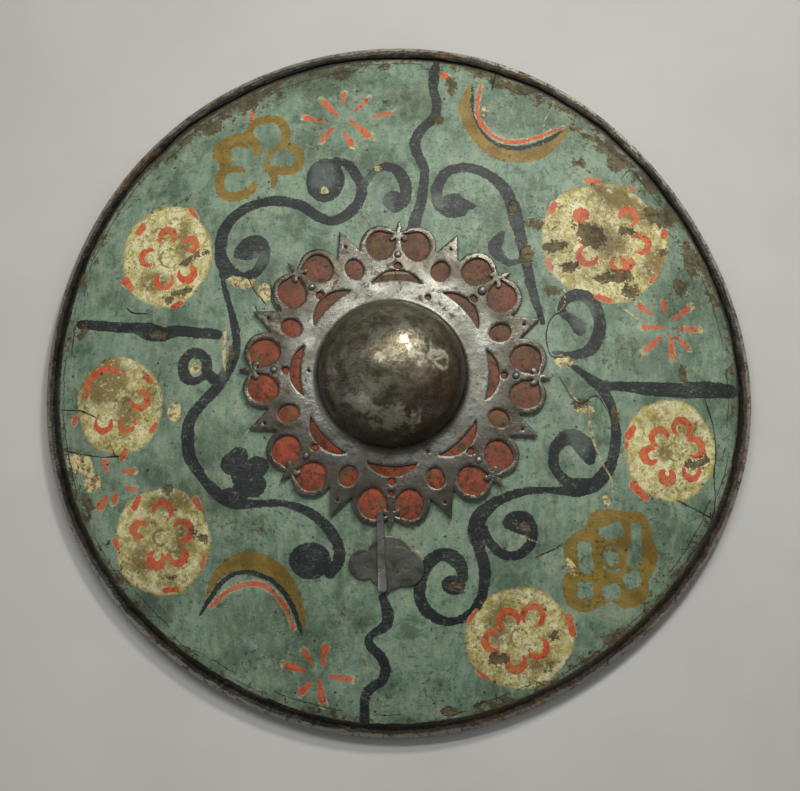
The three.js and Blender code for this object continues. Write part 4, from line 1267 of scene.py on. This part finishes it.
# Raises the middle of the flat plate into the dome: distance from the dome's axis becomes
# a way along its profile
def formPlate(spots, below):
    dome = plate["dome"]
    radius, fillet = dome["radius"], dome["fillet"]
    brim, rise = radius + fillet, dome["height"] - fillet
    centre = np.array([dome["x"], dome["y"]])
    ring = away(spots, *centre)
    foot = float(dishZ(brim, plateTop))
    bendRun = fillet * math.pi / 2
    share = np.clip((brim - ring) / brim, 0, 1)
    way = share * (bendRun + dome["way"])
    phi = -math.pi / 2 - np.clip(way / bendRun, 0, 1) * math.pi / 2
    theta = np.clip((way - bendRun) / dome["way"], 0, 1) * math.pi / 2
    onDome = way > bendRun
    r = np.where(onDome, radius * np.cos(theta), brim + fillet * np.cos(phi))
    h = np.where(onDome, fillet + rise * np.sin(theta), fillet + fillet * np.sin(phi))
    nr, nh = np.cos(theta) / radius, np.sin(theta) / rise
    size = np.hypot(nr, nh)
    nr, nh = np.where(onDome, nr / size, -np.cos(phi)), np.where(onDome, nh / size, -np.sin(phi))
    r, h = r - nr * below, h - nh * below
    unit = (spots - centre) / np.maximum(ring, 1e-6)[:, None]
    raised = np.column_stack([centre + unit * r[:, None], foot + h])
    level = np.column_stack([spots, dishZ(away(spots), plateTop - below)])
    return np.where((ring < brim)[:, None], raised, level)


def flangeIron(bench, cloud):
    near = bench.mix(cloud, colour(104, 103, 92), colour(146, 147, 138))
    outer = bench.mix(cloud, colour(66, 61, 50), colour(114, 110, 98))
    far = bench.step(bench.sum("MULTIPLY_ADD", cloud, 12.0, bench.field("outward")), 82.0, 106.0)
    stain = bench.step(bench.mottle(9, 6, 0.7, 0.4), 0.52, 0.64, 0, 0.6)
    return bench.mix(stain, bench.mix(far, near, outer), colour(82, 72, 52))


# Brown patina, and where it is worn pale: in patches, net-like on the right; painted shade darkens its lower
# sides towards the foot
def domeIron(bench):
    parts = bench.put("ShaderNodeSeparateXYZ", {0: bench.where}).outputs
    cloud = bench.mottle(13, 7, 0.72, 0.2)
    base = bench.mix(bench.step(cloud, 0.38, 0.62), colour(80, 73, 54), colour(134, 127, 106))
    lowRight = bench.sum("SUBTRACT", parts[0], parts[1])
    brown = bench.step(bench.sum("MULTIPLY_ADD", cloud, 0.05, lowRight), 0.03, 0.1, 0, 0.75)
    base = bench.mix(brown, base, colour(78, 54, 36))
    plugs = {"Vector": bench.wander(9, 3), "Scale": 95.0}
    cells = bench.put("ShaderNodeTexVoronoi", plugs, feature="DISTANCE_TO_EDGE").outputs[0]
    worn = bench.step(bench.sum("MULTIPLY_ADD", cloud, 50.0, bench.field("polished")), 22.0, 30.0)
    net = bench.both(bench.step(cells, 0.2, 0.04), bench.step(parts[0], 0.0, 0.02))
    plain = bench.step(parts[0], 0.03, 0.01, 0.12, 0.5)
    pale = bench.both(worn, bench.sum("MAXIMUM", net, plain))
    base = bench.mix(pale, base, colour(190, 184, 158))
    base = bench.mix(bench.step(bench.mottle(3, 5, 0.75), 0.55, 0.66, 0, 0.7), base, colour(60, 52, 36))
    # painted shade: the dome darker towards its foot
    base = bench.mix(bench.step(bench.field("rimward"), 0.6, 1.0, 0, 0.5), base, colour(44, 38, 27))
    return base, pale


def plateIron(bench):
    aged = bench.group(ironGroup, Scale=26.0, Rust=0.2)
    onDome = bench.field("domeShare")
    dome, pale = domeIron(bench)
    base = bench.mix(onDome, flangeIron(bench, aged["Cloud"]), dome)
    base = bench.marked(base, scratchGroup, 0.5, (196, 198, 192), Scale=70.0, Amount=1.0)
    rust = bench.both(aged["Rust"], 0.8)
    base = bench.mix(rust, base, colour(80, 60, 40))
    base = bench.mix(bench.both(aged["Pits"], 0.8), base, colour(38, 34, 26))
    # a painted highlight: every cut edge paler, as if light caught its bevel
    edgeHighlight = bench.step(bench.field("depth"), 0.7, 0.2, 0, 0.35)
    base = bench.mix(edgeHighlight, base, colour(176, 176, 166))
    rough = bench.step(aged["Cloud"], 0, 1, 0.5, 0.36)
    rough = bench.sum("MULTIPLY_ADD", rust, 0.3, bench.sum("MULTIPLY_ADD", onDome, -0.1, rough))
    metal = bench.sum("SUBTRACT", 0.92, bench.both(rust, 0.6))
    metal = bench.sum("MULTIPLY_ADD", onDome, bench.sum("MULTIPLY_ADD", pale, -0.4, -0.22), metal)
    return bench.finish(base, rough, bench.both(bench.mottle(7, 5, 0.62), 0.7), 0.7, metal)


def makePlate():
    dome = plate["dome"]
    reach = plate["sheetHalf"]
    box = (-reach, -reach, reach, reach)
    flange = hexPoints(box, plate["flangeStep"])
    flange = flange[away(flange, dome["x"], dome["y"]) > plate["domeMesh"] + 0.5]
    rings = [(dome["x"], dome["y"])]
    for out in np.arange(1.4, plate["domeMesh"], plate["domeStep"]):
        count = max(6 * round(max(out, 1.5) * 2 * math.pi / plate["domeSpacing"] / 6), 6)
        for k in range(count):
            a = 2 * math.pi * (k + 0.5 * (int(out * 10) % 2)) / count
            rings.append((dome["x"] + out * math.cos(a), dome["y"] + out * math.sin(a)))
    filling = np.vstack([flange, np.array(rings)])
    places, faces, deep, spots = cutSheet(filedPlateDepth, box, plate, filling, plate["thick"], formPlate)
    both = np.vstack([spots, spots])
    domeRing = away(both, dome["x"], dome["y"])
    wavy = 0.35 * unevenness(both, 32, 31) + 0.1 * unevenness(both, 9, 32)
    places[:, 2] += (plate["spare"] + wavy) * ease(domeRing, 60, 74)
    dent = 0.5 * unevenness(places, 26, 33) + 0.12 * unevenness(places, 9, 34)
    inward = ease(domeRing, 66, 52)
    centre = np.array([dome["x"], dome["y"], float(dishZ(0.0, plateTop))])
    towards = (places - centre) / np.linalg.norm(places - centre, axis=1)[:, None]
    places -= towards * ((plate["domeSpare"] + dent) * inward)[:, None]
    polished = np.full(len(places), farOut)
    for stroke in plate["polished"]:
        brush(polished, places[:, :2], stroke)
    fields = {
        "depth": deep,
        "domeShare": ease(domeRing, 66.5, 62),
        "outward": away(both),
        "polished": polished,
        "rimward": away(places, dome["x"], dome["y"]) / dome["radius"],
    }
    piece = makePiece("bossPlate", places, faces, [newMaterial("wornPlateIron", plateIron)], 50, fields)
    seat(piece, "plate_iron", "boss_plate")


makePlate()
print("boss plate cut and raised")

# The red leather under the plate

leather = {
    "inner": 66.0,
    "disc": 105.0,
    "spare": 2.2,
    "thick": 1.2,
    "lift": 0.4,
    "sides": 540,
    "rings": 34,
    "puff": 1.0,
    # a fold that runs round the top
    "fold": {"x": 2.0, "y": -6.0, "radius": 90.5, "width": 1.3, "height": 1.1, "reach": (17.0, 9.0)},
}


def redLeather(bench):
    parts = bench.put("ShaderNodeSeparateXYZ", {0: bench.where}).outputs
    dusty = bench.sum("ADD", parts[1], bench.both(parts[0], 0.6))
    dusty = bench.step(bench.sum("MULTIPLY_ADD", bench.mottle(30, 4), 0.12, dusty), -0.02, 0.14)
    red = bench.mix(bench.step(bench.mottle(12, 6, 0.7), 0.4, 0.62), colour(158, 70, 38), colour(114, 54, 32))
    faded = bench.mix(bench.step(bench.mottle(13, 6, 0.7), 0.4, 0.6), colour(122, 76, 60), colour(90, 64, 48))
    base = bench.mix(dusty, red, faded)
    base = bench.mix(bench.step(bench.mottle(17, 6, 0.72), 0.52, 0.62, 0, 0.8), base, colour(96, 82, 42))
    base = bench.mix(bench.step(bench.mottle(3, 6, 0.75), 0.54, 0.66, 0, 0.6), base, colour(78, 50, 30))
    base = bench.marked(base, dirtGroup, 0.75, (52, 38, 24), Scale=220.0, Amount=0.28)
    base = bench.mix(bench.step(bench.field("fold"), 0.3, 0.8, 0, 0.8), base, colour(150, 140, 122))
    pores = bench.put("ShaderNodeTexVoronoi", {"Vector": bench.where, "Scale": 700.0}).outputs[0]
    height = bench.sum("MULTIPLY_ADD", pores, 0.12, bench.both(bench.mottle(6, 6), 0.9))
    return bench.finish(base, bench.step(pores, 0.1, 0.7, 0.62, 0.8), height, 0.8)


def makeLeather():
    oval = plate["oval"]
    turn = turnsOf(leather["sides"])
    edge = np.full(len(turn), leather["disc"])
    for unit in range(plate["units"]):
        for side in (-1, 1):
            centre = math.radians(90 - unit * 360 / plate["units"] - plate["turn"])
            cx = oval["out"] * math.cos(centre) + side * oval["aside"] * math.sin(centre)
            cy = oval["out"] * math.sin(centre) - side * oval["aside"] * math.cos(centre)
            for out in np.arange(leather["disc"], 126, 0.25):
                spots = np.column_stack(spun(out, turn))
                wide, long = oval["halfWidth"] + leather["spare"], oval["halfLength"] + leather["spare"]
                inside = egg(spots, cx, cy, wide, long, math.degrees(centre) - 90) > 0
                edge = np.where(inside, np.maximum(edge, out), edge)
    share = np.linspace(0, 1, leather["rings"])[:, None]
    out = leather["inner"] + (edge - leather["inner"]) * share
    x, y = spun(out, turn)
    out, spots = out.ravel(), np.column_stack([x, y])
    shown = -plateDepth(spots)
    soft = 0.7 + 0.3 * unevenness(spots, 12, 41)
    puff = leather["puff"] * ease(shown, 0.2, 4.5) * soft
    fold = leather["fold"]
    fromFold = away(spots, fold["x"], fold["y"]) - fold["radius"]
    ridge = np.exp(-(fromFold / fold["width"]) ** 2) * ease(np.abs(x - fold["x"]), *fold["reach"]) * (y > 0)
    top = dishZ(out, leather["lift"] + leather["thick"]) + puff + fold["height"] * ridge
    low = dishZ(out, leather["lift"])
    rings, sides = leather["rings"], leather["sides"]
    under = np.column_stack([x, y, low]).reshape(rings, sides, 3)
    over = np.column_stack([x, y, top]).reshape(rings, sides, 3)[::-1]
    places = np.concatenate([under, over]).reshape(-1, 3)
    folded = np.concatenate([np.zeros((rings, sides)), ridge.reshape(rings, sides)[::-1]]).ravel()
    quads = ringQuads(2 * rings, sides)
    materials = [newMaterial("fadedRedLeather", redLeather)]
    piece = makePiece("redLeather", places, quads, materials, 50, {"fold": folded})
    seat(piece, "red_leather", "red_underlay")


makeLeather()
print("leather laid")

# The leaf plate and the bar that hangs over it

leaf = {
    "circles": [(-25.5, -157.5, 12.5), (9.0, -161.0, 15.0)],
    "arch": (-4.4, -156.0, 20.2, 21.5),
    "tongue": [(-14.4, -160), (-8.9, -181), (-4.4, -181), (1.6, -162)],
    "thick": 1.6,
    "lift": 0.4,
    "cutSize": 0.8,
    "edgeRows": (0.0, 0.22, 0.5),
    "edgeDrop": 0.4,
    "engraved": [((1.0, -160.0), 17.5, 15, 95), ((-24.0, -157.0), 9.0, 80, 200)],
    "dots": [(-21.5, -158.5, 2.6), (9.5, -159.5, 2.6)],
    "engraveDepth": 0.25,
    "waviness": 0.25,
    "box": (-42.0, -186.0, 28.0, -130.0),
    "fillStep": 0.9,
}


def leafDepth(spots):
    depth = egg(spots, *leaf["arch"])
    for x, y, radius in leaf["circles"]:
        depth = np.maximum(depth, radius - away(spots, x, y))
    return np.maximum(depth, polygonDepth(spots, leaf["tongue"]))


def darkIron(bench):
    aged = bench.group(ironGroup, Scale=60.0, Rust=0.14)
    base = bench.mix(aged["Cloud"], colour(66, 66, 58), colour(116, 116, 104))
    base = bench.marked(base, scratchGroup, 0.6, (168, 164, 154), Scale=80.0, Amount=0.8)
    rust = bench.both(aged["Rust"], 0.7)
    base = bench.mix(rust, base, colour(84, 64, 44))
    base = bench.mix(aged["Pits"], base, colour(34, 30, 24))
    metal = bench.sum("SUBTRACT", 0.7, bench.both(rust, 0.4))
    height = bench.sum("MULTIPLY_ADD", bench.mottle(4, 5), 0.4, bench.both(aged["Pits"], -0.3))
    return bench.finish(base, bench.step(aged["Cloud"], 0, 1, 0.6, 0.46), height, 0.8, metal)


darkIronMaterial = newMaterial("darkOldIron", darkIron)


def makeLeaf():
    def form(spots, below):
        carve = np.zeros(len(spots))
        for (x, y), radius, first, last in leaf["engraved"]:
            angle = np.degrees(np.arctan2(spots[:, 1] - y, spots[:, 0] - x)) % 360
            line = np.abs(away(spots, x, y) - radius)
            carve += leaf["engraveDepth"] * ease(line, 1.0, 0.2) * ((angle > first) & (angle < last))
        for x, y, radius in leaf["dots"]:
            line = np.abs(away(spots, x, y) - radius)
            carve += leaf["engraveDepth"] * ease(line, 0.9, 0.2)
        wavy = leaf["waviness"] * (1 + unevenness(spots, 16, 51))
        carve = np.where(below < leaf["thick"] * 0.9, carve, 0)
        top = leaf["lift"] + leaf["thick"]
        return np.column_stack([spots, dishZ(away(spots), top - below - carve) + wavy])

    filling = hexPoints(leaf["box"], leaf["fillStep"])
    places, faces, _, _ = cutSheet(leafDepth, leaf["box"], leaf, filling, leaf["thick"], form)
    piece = makePiece("leafPlate", places, faces, [darkIronMaterial], 50)
    seat(piece, "dark_iron", "leaf_plate")


makeLeaf()

bar = {
    "top": (-12.2, -116.0),
    "tip": (-10.3, -181.0),
    "halfWidths": (2.9, 3.9),
    "thick": 3.0,
    "roundness": 0.75,
    "wear": 0.97,
    "dentSize": 9.0,
    "dentDepth": 0.12,
    "metal": 0.85,
    "steps": 60,
    "sides": 20,
}


def barIron(bench):
    aged = bench.group(ironGroup, Scale=70.0, Rust=0.12)
    base = bench.mix(aged["Cloud"], colour(92, 92, 84), colour(142, 142, 132))
    bright = bench.step(bench.sum("MULTIPLY_ADD", aged["Cloud"], 0.12, bench.field("towardsTip")), 0.62, 1.0)
    base = bench.mix(bench.both(bright, 0.8), base, colour(188, 186, 178))
    base = bench.marked(base, scratchGroup, 0.6, (196, 194, 188), Scale=90.0, Amount=1.0)
    base = bench.mix(bench.both(aged["Rust"], 0.7), base, colour(84, 64, 46))
    base = bench.mix(aged["Pits"], base, colour(38, 34, 28))
    height = bench.sum("MULTIPLY_ADD", bench.mottle(5, 5), 0.4, bench.both(aged["Pits"], -0.3))
    return bench.finish(base, bench.step(bright, 0, 1, 0.45, 0.3), height, 0.7, bar["metal"])


def makeBar():
    low, high = (np.array(corner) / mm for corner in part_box("bar"))
    top, tip = np.array(bar["top"]), np.array(bar["tip"])
    run = np.linalg.norm(tip - top)
    along, aside = (tip - top) / run, np.array([(tip - top)[1], -(tip - top)[0]]) / -run
    topZ = dishZ(np.hypot(*top), plateTop + shield["clearance"] + 0.2)
    tipZ = dishZ(np.hypot(*tip), leaf["lift"] + leaf["thick"] + shield["clearance"])
    places, towards = [], []
    for step in range(bar["steps"] + 1):
        share = step / bar["steps"]
        wide = bar["halfWidths"][0] + (bar["halfWidths"][1] - bar["halfWidths"][0]) * share
        fromTip = (1 - share) * run
        if fromTip < wide:
            wide *= math.sqrt(max(1 - (1 - fromTip / wide) ** 2, 0.02))
        centre = top + along * run * share
        z = topZ + (tipZ - topZ) * share
        for side in range(bar["sides"]):
            a = 2 * math.pi * side / bar["sides"]
            u = squared(math.cos(a), bar["roundness"]) * wide
            v = (1 + squared(math.sin(a), bar["roundness"])) * bar["thick"] / 2 * bar["wear"]
            spot = centre + aside * u
            places.append((spot[0], spot[1], z + v))
            towards.append(share)
    places = np.array(places)
    wander = np.column_stack([unevenness(places, bar["dentSize"], seed) for seed in (61, 62)])
    places[:, :2] += bar["dentDepth"] * wander
    places, faces = closedTube(places, bar["steps"] + 1, bar["sides"])
    places = np.clip(places, low, high)
    fields = {"towardsTip": towards + [0.0, 1.0]}
    piece = makePiece("hangingBar", places, faces, [newMaterial("barIron", barIron)], 40, fields)
    seat(piece, "bar_iron", "bar")


makeBar()
print("leaf plate and bar made")

# Domed nails: one tree stands a nail on each point, and takes its lean and size from the point

nails = {
    "headRadius": 3.0,
    "headRise": 2.2,
    "shankRadius": 1.3,
    "shankLength": 6.0,
    "bigUnit": 1,
    "bigScale": 1.33,
    "gripHead": 4.5,
    "gripShank": 13.0,
    "spare": 0.3,
    "seatLift": 0.35,
    "dents": 0.5,
    "metal": 0.9,
    "seed": 7,
}


def nailTree():
    tree = bpy.data.node_groups.new("domedNails", "GeometryNodeTree")
    sockets = tree.interface
    sockets.new_socket("Geometry", in_out="INPUT", socket_type="NodeSocketGeometry")
    inputs = {"Head Radius": 0.003, "Head Rise": 0.0022, "Shank Radius": 0.0013, "Shank Length": 0.006,
              "Dents": 0.0002}
    for label, value in inputs.items():
        sockets.new_socket(label, in_out="INPUT", socket_type="NodeSocketFloat").default_value = value
    sockets.new_socket("Seed", in_out="INPUT", socket_type="NodeSocketFloat")
    sockets.new_socket("Material", in_out="INPUT", socket_type="NodeSocketMaterial")
    sockets.new_socket("Geometry", in_out="OUTPUT", socket_type="NodeSocketGeometry")
    put, links = Bench(tree).put, tree.links
    source, result = put("NodeGroupInput").outputs, put("NodeGroupOutput").inputs
    ball = put("GeometryNodeMeshUVSphere", {"Segments": 20, "Rings": 12, "Radius": 1.0}).outputs[0]
    wide = source["Head Radius"]
    size = put("ShaderNodeCombineXYZ", {0: wide, 1: wide, 2: source["Head Rise"]})
    head = put("GeometryNodeTransform", {"Geometry": ball, "Scale": size.outputs[0]}).outputs[0]
    spot = put("ShaderNodeSeparateXYZ", {0: put("GeometryNodeInputPosition").outputs[0]}).outputs
    flat = put("ShaderNodeMath", {0: spot[2], 1: 0.0}, operation="MAXIMUM").outputs[0]
    pressed = put("ShaderNodeCombineXYZ", {0: spot[0], 1: spot[1], 2: flat}).outputs[0]
    head = put("GeometryNodeSetPosition", {"Geometry": head, "Position": pressed}).outputs[0]
    plugs = {"Vertices": 14, "Radius": source["Shank Radius"], "Depth": source["Shank Length"]}
    pin = put("GeometryNodeMeshCylinder", plugs).outputs[0]
    half = put("ShaderNodeMath", {0: source["Shank Length"], 1: -0.5}, operation="MULTIPLY").outputs[0]
    down = put("ShaderNodeCombineXYZ", {2: half}).outputs[0]
    pin = put("GeometryNodeTransform", {"Geometry": pin, "Translation": down}).outputs[0]
    joined = put("GeometryNodeJoinGeometry")
    links.new(head, joined.inputs[0])
    links.new(pin, joined.inputs[0])
    lean = put("GeometryNodeInputNamedAttribute", {"Name": "lean"}, data_type="FLOAT_VECTOR").outputs[0]
    scale = put("GeometryNodeInputNamedAttribute", {"Name": "size"}, data_type="FLOAT").outputs[0]
    turned = put("FunctionNodeEulerToRotation", {0: lean}).outputs[0]
    plugs = {"Points": source["Geometry"], "Instance": joined.outputs[0], "Rotation": turned, "Scale": scale}
    stood = put("GeometryNodeInstanceOnPoints", plugs).outputs[0]
    real = put("GeometryNodeRealizeInstances", {"Geometry": stood}).outputs[0]
    plugs = {"Scale": 420.0, "Detail": 1.0, "W": source["Seed"]}
    wobble = put("ShaderNodeTexNoise", plugs, noise_dimensions="4D").outputs["Color"]
    centred = put("ShaderNodeVectorMath", {0: wobble, 1: (0.5, 0.5, 0.5)}, operation="SUBTRACT")
    offset = put("ShaderNodeVectorMath", {0: centred.outputs[0], "Scale": source["Dents"]}, operation="SCALE")
    real = put("GeometryNodeSetPosition", {"Geometry": real, "Offset": offset.outputs[0]}).outputs[0]
    real = put("GeometryNodeSetShadeSmooth", {"Geometry": real}).outputs[0]
    finished = put("GeometryNodeSetMaterial", {"Geometry": real, "Material": source["Material"]}).outputs[0]
    links.new(finished, result["Geometry"])
    return tree


def standNails(name, tree, sites, values):
    mesh = bpy.data.meshes.new(name)
    mesh.from_pydata([Vector(site["place"]) * mm for site in sites], [], [])
    lean = mesh.attributes.new("lean", "FLOAT_VECTOR", "POINT")
    lean.data.foreach_set("vector", [part for site in sites for part in site["lean"]])
    size = mesh.attributes.new("size", "FLOAT", "POINT")
    size.data.foreach_set("value", [site["size"] for site in sites])
    piece = bpy.data.objects.new(name, mesh)
    bpy.context.scene.collection.objects.link(piece)
    modifier = piece.modifiers.new("nails", "NODES")
    modifier.node_group = tree
    for item in tree.interface.items_tree:
        if item.in_out == "INPUT" and item.name in values:
            modifier[item.identifier] = values[item.name]
    evaluated = piece.evaluated_get(bpy.context.evaluated_depsgraph_get())
    finished = bpy.data.meshes.new_from_object(evaluated)
    piece.modifiers.clear()
    piece.data = finished
    finished.name = name
    finished.set_sharp_from_angle(angle=math.radians(50))
    return piece


def makeNails():
    tree = nailTree()

    def nailIron(bench):
        aged = bench.group(ironGroup, Scale=90.0, Rust=0.14)
        base = bench.mix(aged["Cloud"], colour(104, 100, 90), colour(150, 146, 136))
        base = bench.mix(bench.both(aged["Rust"], 0.7), base, colour(84, 66, 48))
        rough = bench.step(aged["Cloud"], 0, 1, 0.52, 0.4)
        return bench.finish(base, rough, bench.both(bench.mottle(2, 4), 0.3), metal=nails["metal"])

    sites = []
    step = 360 / plate["units"]
    for unit in range(plate["units"]):
        if unit == plate["lostUnit"]:
            continue
        turn = math.radians(unit * step + plate["turn"])
        slope = math.asin(plate["nailOut"] / sphereRadius)
        seatZ = float(dishZ(plate["nailOut"], plateTop + nails["seatLift"]))
        place = (plate["nailOut"] * math.sin(turn), plate["nailOut"] * math.cos(turn), seatZ)
        big = nails["bigScale"] if unit == nails["bigUnit"] else 1.0
        sites.append({"place": place, "lean": (-slope, 0, -turn), "size": big})
    values = {
        "Head Radius": nails["headRadius"] * mm, "Head Rise": nails["headRise"] * mm,
        "Shank Radius": nails["shankRadius"] * mm, "Shank Length": nails["shankLength"] * mm,
        "Dents": nails["dents"] * mm, "Seed": float(nails["seed"]),
        "Material": newMaterial("wornNailIron", nailIron),
    }
    piece = standNails("plateNails", tree, sites, values)
    seat(piece, "nail_iron", *[f"plate_nail_{k + 1}" for k in range(len(sites))])

    sites = []
    for number in (1, 2):
        low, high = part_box(f"grip_nail_{number}")
        middle = (low + high) / 2 / mm
        place = (middle.x, middle.y, low.z / mm + nails["headRise"])
        sites.append({"place": place, "lean": (math.pi, 0, 0), "size": 1.0})
    values = dict(values, Material=darkIronMaterial)
    values["Head Radius"] = (nails["gripHead"] - nails["spare"]) * mm
    values["Shank Length"] = (nails["gripShank"] - nails["spare"]) * mm
    piece = standNails("gripNails", tree, sites, values)
    seat(piece, "dark_iron", "grip_nail_1", "grip_nail_2")


makeNails()
print("nails driven")

# The hand grip behind the boss

grip = {
    "halfLength": 82.0,
    "halfWidth": 12.0,
    "waist": 9.6,
    "endThick": 8.0,
    "midThick": 19.0,
    "roundness": 0.45,
    "endTuck": 0.18,
    "wearSize": 18.0,
    "wearDepth": 0.25,
    "steps": 90,
    "sides": 28,
}


def makeGrip():
    low, high = (np.array(corner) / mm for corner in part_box("grip"))
    under = float(dishZ(0.0, -shield["boardThick"]))
    endLow = float(dishZ(grip["halfLength"], -shield["boardThick"])) - grip["endThick"]
    hole = shield["handHole"]
    rows = []
    for step in range(grip["steps"] + 1):
        x = -grip["halfLength"] + 2 * grip["halfLength"] * step / grip["steps"]
        share = max(1 - (x / hole) ** 2, 0)
        top = float(dishZ(abs(x), -shield["boardThick"] - shield["clearance"] - 0.3))
        bottom = endLow + (under - grip["midThick"] - endLow) * share
        wide = grip["halfWidth"] - (grip["halfWidth"] - grip["waist"]) * ease(abs(x), hole + 8, hole - 22)
        fromEnd = grip["halfLength"] - abs(x)
        tuck = 1 - grip["endTuck"] * float(ease(fromEnd, 5, 0))
        rows.append((x, top, bottom, wide * tuck))
    places = []
    for x, top, bottom, wide in rows:
        middle, half = (top + bottom) / 2, (top - bottom) / 2
        for side in range(grip["sides"]):
            a = 2 * math.pi * side / grip["sides"]
            u = squared(math.cos(a), grip["roundness"]) * wide
            v = squared(math.sin(a), grip["roundness"]) * half
            places.append((x, u, middle + v))
    places = np.array(places)
    worn = 1 + unevenness(places, grip["wearSize"], 71)
    places[:, 1] -= np.sign(places[:, 1]) * grip["wearDepth"] * worn
    places, faces = closedTube(places, grip["steps"] + 1, grip["sides"])
    faces = [face[::-1] for face in faces]
    places = np.clip(places, low, high)

    def gripWood(bench):
        fibre = bench.mottle(2, 5, 0.7, where=bench.stretch((0.05, 1.0, 1.0)))
        base = bench.mix(bench.step(fibre, 0.4, 0.65), colour(112, 80, 50), colour(74, 50, 31))
        handled = bench.step(bench.mottle(26, 4), 0.36, 0.66)
        base = bench.mix(bench.both(handled, 0.55), base, colour(48, 33, 21))
        base = bench.marked(base, dirtGroup, 0.6, (30, 22, 15), Scale=200.0, Amount=0.22)
        return bench.finish(base, bench.step(handled, 0, 1, 0.62, 0.42), bench.both(fibre, 0.4))

    piece = makePiece("handGrip", places, faces, [newMaterial("handledWood", gripWood)], 50)
    seat(piece, "bare_wood", "grip")


makeGrip()
print("grip fitted")
